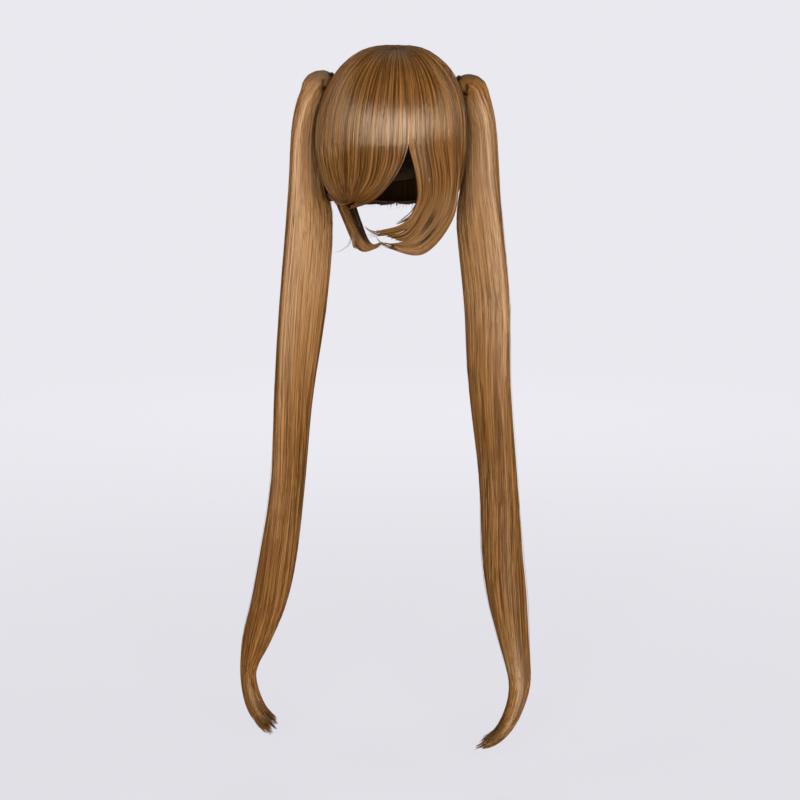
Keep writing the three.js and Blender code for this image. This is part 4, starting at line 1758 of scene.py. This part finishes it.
@dataclass
class ScalpPatch:
    """Thin patch in the middle of the whorl, slightly domed and dimpled.

    Rings round the whorl's middle, on the dome: outside at a share of the hair's depth, inside on the cap.
    """

    radius: float = 0.0066
    part: float = 0.72
    sides: int = 64
    rows: int = 14

    def build(self, wardrobe: Wardrobe) -> None:
        """Makes and dresses the patch.

        Args:
            wardrobe: hands the patch over to the frame.
        """
        full = HEAD.outside(HEAD.hair_wall)
        rim = HEAD.outside(HEAD.whorl_wall)
        low = HEAD.inside()
        angle = np.arange(self.sides)[None] * FULL_TURN / self.sides
        reach = np.linspace(0.02, 1.0, self.rows)[:, None]
        x = HEAD.whorl_side / full.side + self.radius * reach * np.cos(angle) / full.side
        y = -HEAD.whorl_front / full.front + self.radius * reach * np.sin(angle) / full.front
        dimples = noise(reach * 9 * np.cos(angle), reach * 9 * np.sin(angle), 9)
        part = self.part * (1 - reach ** 8 * 0.8) + 0.03 * dimples
        keys = ("side", "front", "rise", "lean")
        top = Layer(*(mix(getattr(low, key), getattr(rim, key), part) for key in keys))
        outer = HEAD.dome(x, y, top)
        inner = HEAD.dome(x, y, low)
        rings = np.concatenate([outer, inner[::-1]])
        wardrobe.dress(closed_rings(rings, {}).make("scalp_patch"), Finish.SCALP, "crown_patch")


@dataclass(frozen=True)
class SoftBox:
    """An upright soft box that faces along +Y, turned by some degrees about Z.

    Attributes:
        name: name of its light.
        place: its middle.
        turn: degrees about Z.
        wide: width in metres.
        high: height in metres.
        power: watts.
        in_gloss: whether gloss shows it, besides the even light that it gives.
    """

    name: str
    place: Triple
    turn: float
    wide: float
    high: float
    power: float
    in_gloss: bool = True

    def build(self) -> None:
        """Makes the light."""
        lamp = bpy.data.lights.new(self.name, "AREA")
        lamp.shape = "RECTANGLE"
        lamp.size = self.wide
        lamp.size_y = self.high
        lamp.energy = self.power
        thing = bpy.data.objects.new(self.name, lamp)
        thing.location = self.place
        thing.rotation_euler = (math.radians(90), 0.0, math.radians(self.turn))
        thing.visible_glossy = self.in_gloss
        bpy.context.scene.collection.objects.link(thing)


SOFT_BOXES = (
    SoftBox("front", (0.30, -2.70, 0.80), 0.0, 3.2, 1.00, 126.0),
    SoftBox("front_middle", (0.30, -2.70, 0.05), 0.0, 3.2, 0.50, 52.0),
    SoftBox("front_low", (0.30, -2.70, -0.45), 0.0, 3.2, 0.50, 44.0, in_gloss=False),
    SoftBox("back", (0.0, 2.80, 0.50), 180.0, 3.0, 1.90, 150.0, in_gloss=False),
    SoftBox("back_low", (0.0, 2.80, -0.35), 180.0, 3.0, 0.50, 44.0),
    SoftBox("back_high", (0.0, 2.00, 2.20), 180.0, 2.4, 0.80, 14.0),
    SoftBox("left", (-2.80, 0.40, 0.50), -90.0, 2.6, 1.70, 60.0, in_gloss=False),
    SoftBox("right", (2.80, 0.40, 0.50), 90.0, 2.6, 1.70, 60.0, in_gloss=False),
)


@dataclass
class Studio:
    """Pale floor, soft studio light and the camera at the photo's angle."""

    floor_z: float = -0.83
    floor_radius: float = 3.2
    pale: Colour = (0.823, 0.815, 0.863)
    room: float = 0.26
    room_in_gloss: float = 0.12
    glow: float = 0.77
    rim_points: int = 96
    lens_mm: float = 64.125
    pitch_down: float = 13.1
    viewpoint: Triple = (0.0102, -1.640, -0.0135)

    def build(self) -> None:
        """Makes the floor, the light, the background and the camera."""
        self.floor()
        self.background()
        for box in SOFT_BOXES:
            box.build()
        self.camera()

    def floor(self) -> None:
        """A round floor that fades into the background at its rim."""
        angle = np.arange(self.rim_points) * FULL_TURN / self.rim_points
        rim = np.stack([np.cos(angle) * self.floor_radius, np.sin(angle) * self.floor_radius,
                        np.full(self.rim_points, self.floor_z)], -1)
        mesh = bpy.data.meshes.new("floor")
        mesh.from_pydata(rim.tolist(), [], [list(range(self.rim_points))])
        floor = bpy.data.objects.new("floor", mesh)
        bpy.context.scene.collection.objects.link(floor)
        graph = Graph("floor")
        place = graph.node("TexCoord", {}, {}).out("Object")
        flat = graph.node("VectorMath", {"operation": "MULTIPLY"}, {0: place, 1: (1.0, 1.0, 0.0)}).out()
        reach = graph.node("VectorMath", {"operation": "LENGTH"}, {0: flat}).number("Value")
        fade = reach.step(0.35, self.floor_radius * 0.75)
        matt = graph.node("BsdfDiffuse", {}, {"Color": (*(c * 0.95 for c in self.pale), 1.0)})
        seen = graph.node("LightPath", {}, {}).number("Is Camera Ray")
        lit = graph.node("Emission", {}, {"Color": (*self.pale, 1.0), "Strength": seen * self.glow})
        floor_light = graph.node("MixShader", {}, {0: 0.85, 1: matt.out(), 2: lit.out()})
        clear = graph.node("BsdfTransparent", {}, {})
        mixed = graph.node("MixShader", {}, {0: fade, 1: floor_light.out(), 2: clear.out()})
        graph.node("OutputMaterial", {}, {"Surface": mixed.out()})
        mesh.materials.append(graph.material)

    def background(self) -> None:
        """An even pale background, which lights the wig less than the eye sees it."""
        world = bpy.data.worlds.new("studio")
        bpy.context.scene.world = world
        world.use_nodes = True
        tree = world.node_tree
        seen = tree.nodes["Background"]
        seen.inputs["Color"].default_value = (*self.pale, 1.0)
        room = tree.nodes.new("ShaderNodeBackground")
        room.inputs["Color"].default_value = (*self.pale, 1.0)
        path = tree.nodes.new("ShaderNodeLightPath")
        dim = tree.nodes.new("ShaderNodeMapRange")
        dim.inputs["To Min"].default_value = self.room
        dim.inputs["To Max"].default_value = self.room * self.room_in_gloss
        tree.links.new(path.outputs["Is Glossy Ray"], dim.inputs["Value"])
        tree.links.new(dim.outputs[0], room.inputs["Strength"])
        both = tree.nodes.new("ShaderNodeMixShader")
        tree.links.new(path.outputs["Is Camera Ray"], both.inputs[0])
        tree.links.new(room.outputs[0], both.inputs[1])
        tree.links.new(seen.outputs[0], both.inputs[2])
        tree.links.new(both.outputs[0], tree.nodes["World Output"].inputs["Surface"])

    def camera(self) -> None:
        """The camera, about level with the crown and pitched down."""
        lens = bpy.data.cameras.new("camera")
        lens.lens = self.lens_mm
        camera = bpy.data.objects.new("camera", lens)
        camera.location = self.viewpoint
        camera.rotation_euler = (math.radians(90 - self.pitch_down), 0.0, 0.0)
        bpy.context.scene.collection.objects.link(camera)
        bpy.context.scene.camera = camera
        bpy.context.scene.view_settings.view_transform = "Standard"


def main() -> None:
    """Builds the studio, then the wig piece by piece."""
    logging.basicConfig(level=logging.INFO, format="%(message)s")
    Studio().build()
    wardrobe = Wardrobe()
    locks = [
        BackHair("back_hair", "hair_back", BACK_ENDS, HEAD.nape_drop, HEAD.hair_wall, on_dome=True,
                 width=0.330, columns=300, rows=58, strands=900, steps=24, clumps=64, ragged=0.06, seed=100,
                 stray=0.03),
        Lock("fringe_hair", "fringe", FRINGE_GUIDES, HEAD.fringe_drop, HEAD.hair_wall, on_dome=True,
             width=0.165, columns=220, rows=64, strands=860, steps=30, clumps=22, ragged=0.05, seed=200,
             notches=((0.895, 0.03, 0.075),), tilt=0.30),
        Lock("jaw_hair_left", "jaw_lock_left", JAW_LEFT_GUIDES, HEAD.lock_drop, HEAD.lock_wall,
             on_dome=False, width=0.055, columns=80, rows=54, strands=260, steps=28, clumps=7, ragged=0.07,
             seed=500, dark_from=0.52, lit=1.0),
        Lock("jaw_hair_right", "jaw_lock_right", JAW_RIGHT_GUIDES, HEAD.lock_drop, HEAD.hair_wall,
             on_dome=True, width=0.078, columns=110, rows=66, strands=420, steps=32, clumps=10, ragged=0.07,
             seed=400, hollows=((0.20, 0.06, 0.775, 0.04), (0.46, 0.05, 0.81, 0.05)), lit=1.6),
        Lock("cheek_hair_right", "cheek_lock_right", CHEEK_GUIDES, HEAD.lock_drop, HEAD.hair_wall,
             on_dome=True, width=0.022, columns=40, rows=62, strands=150, steps=32, clumps=4, ragged=0.07,
             seed=300, lit=1.0),
        # Thinner hair behind the gap between two locks, which stands for no node
        Lock("face_hair_right", "", UNDER_GUIDES, HEAD.lock_drop, HEAD.lock_wall, on_dome=False,
             width=0.020, columns=40, rows=40, strands=120, steps=28, clumps=4, ragged=0.10, seed=900),
    ]
    for lock in locks:
        lock.build(wardrobe)
    Wisps("loose_wisps", LOOSE_PATHS).build(wardrobe)
    left = Tail("tail_left", "pigtail_left", TAIL_LEFT_SECTIONS, side=-1, seed=600)
    right = Tail("tail_right", "pigtail_right", TAIL_RIGHT_SECTIONS, side=1, seed=700)
    left.build(wardrobe)
    right.build(wardrobe)
    Clip("clip_jaw_left", "clip_left", left).build(wardrobe)
    Clip("clip_jaw_right", "clip_right", right).build(wardrobe)
    NetCap().build(wardrobe)
    ScalpPatch().build(wardrobe)


if __name__ == "__main__":
    main()
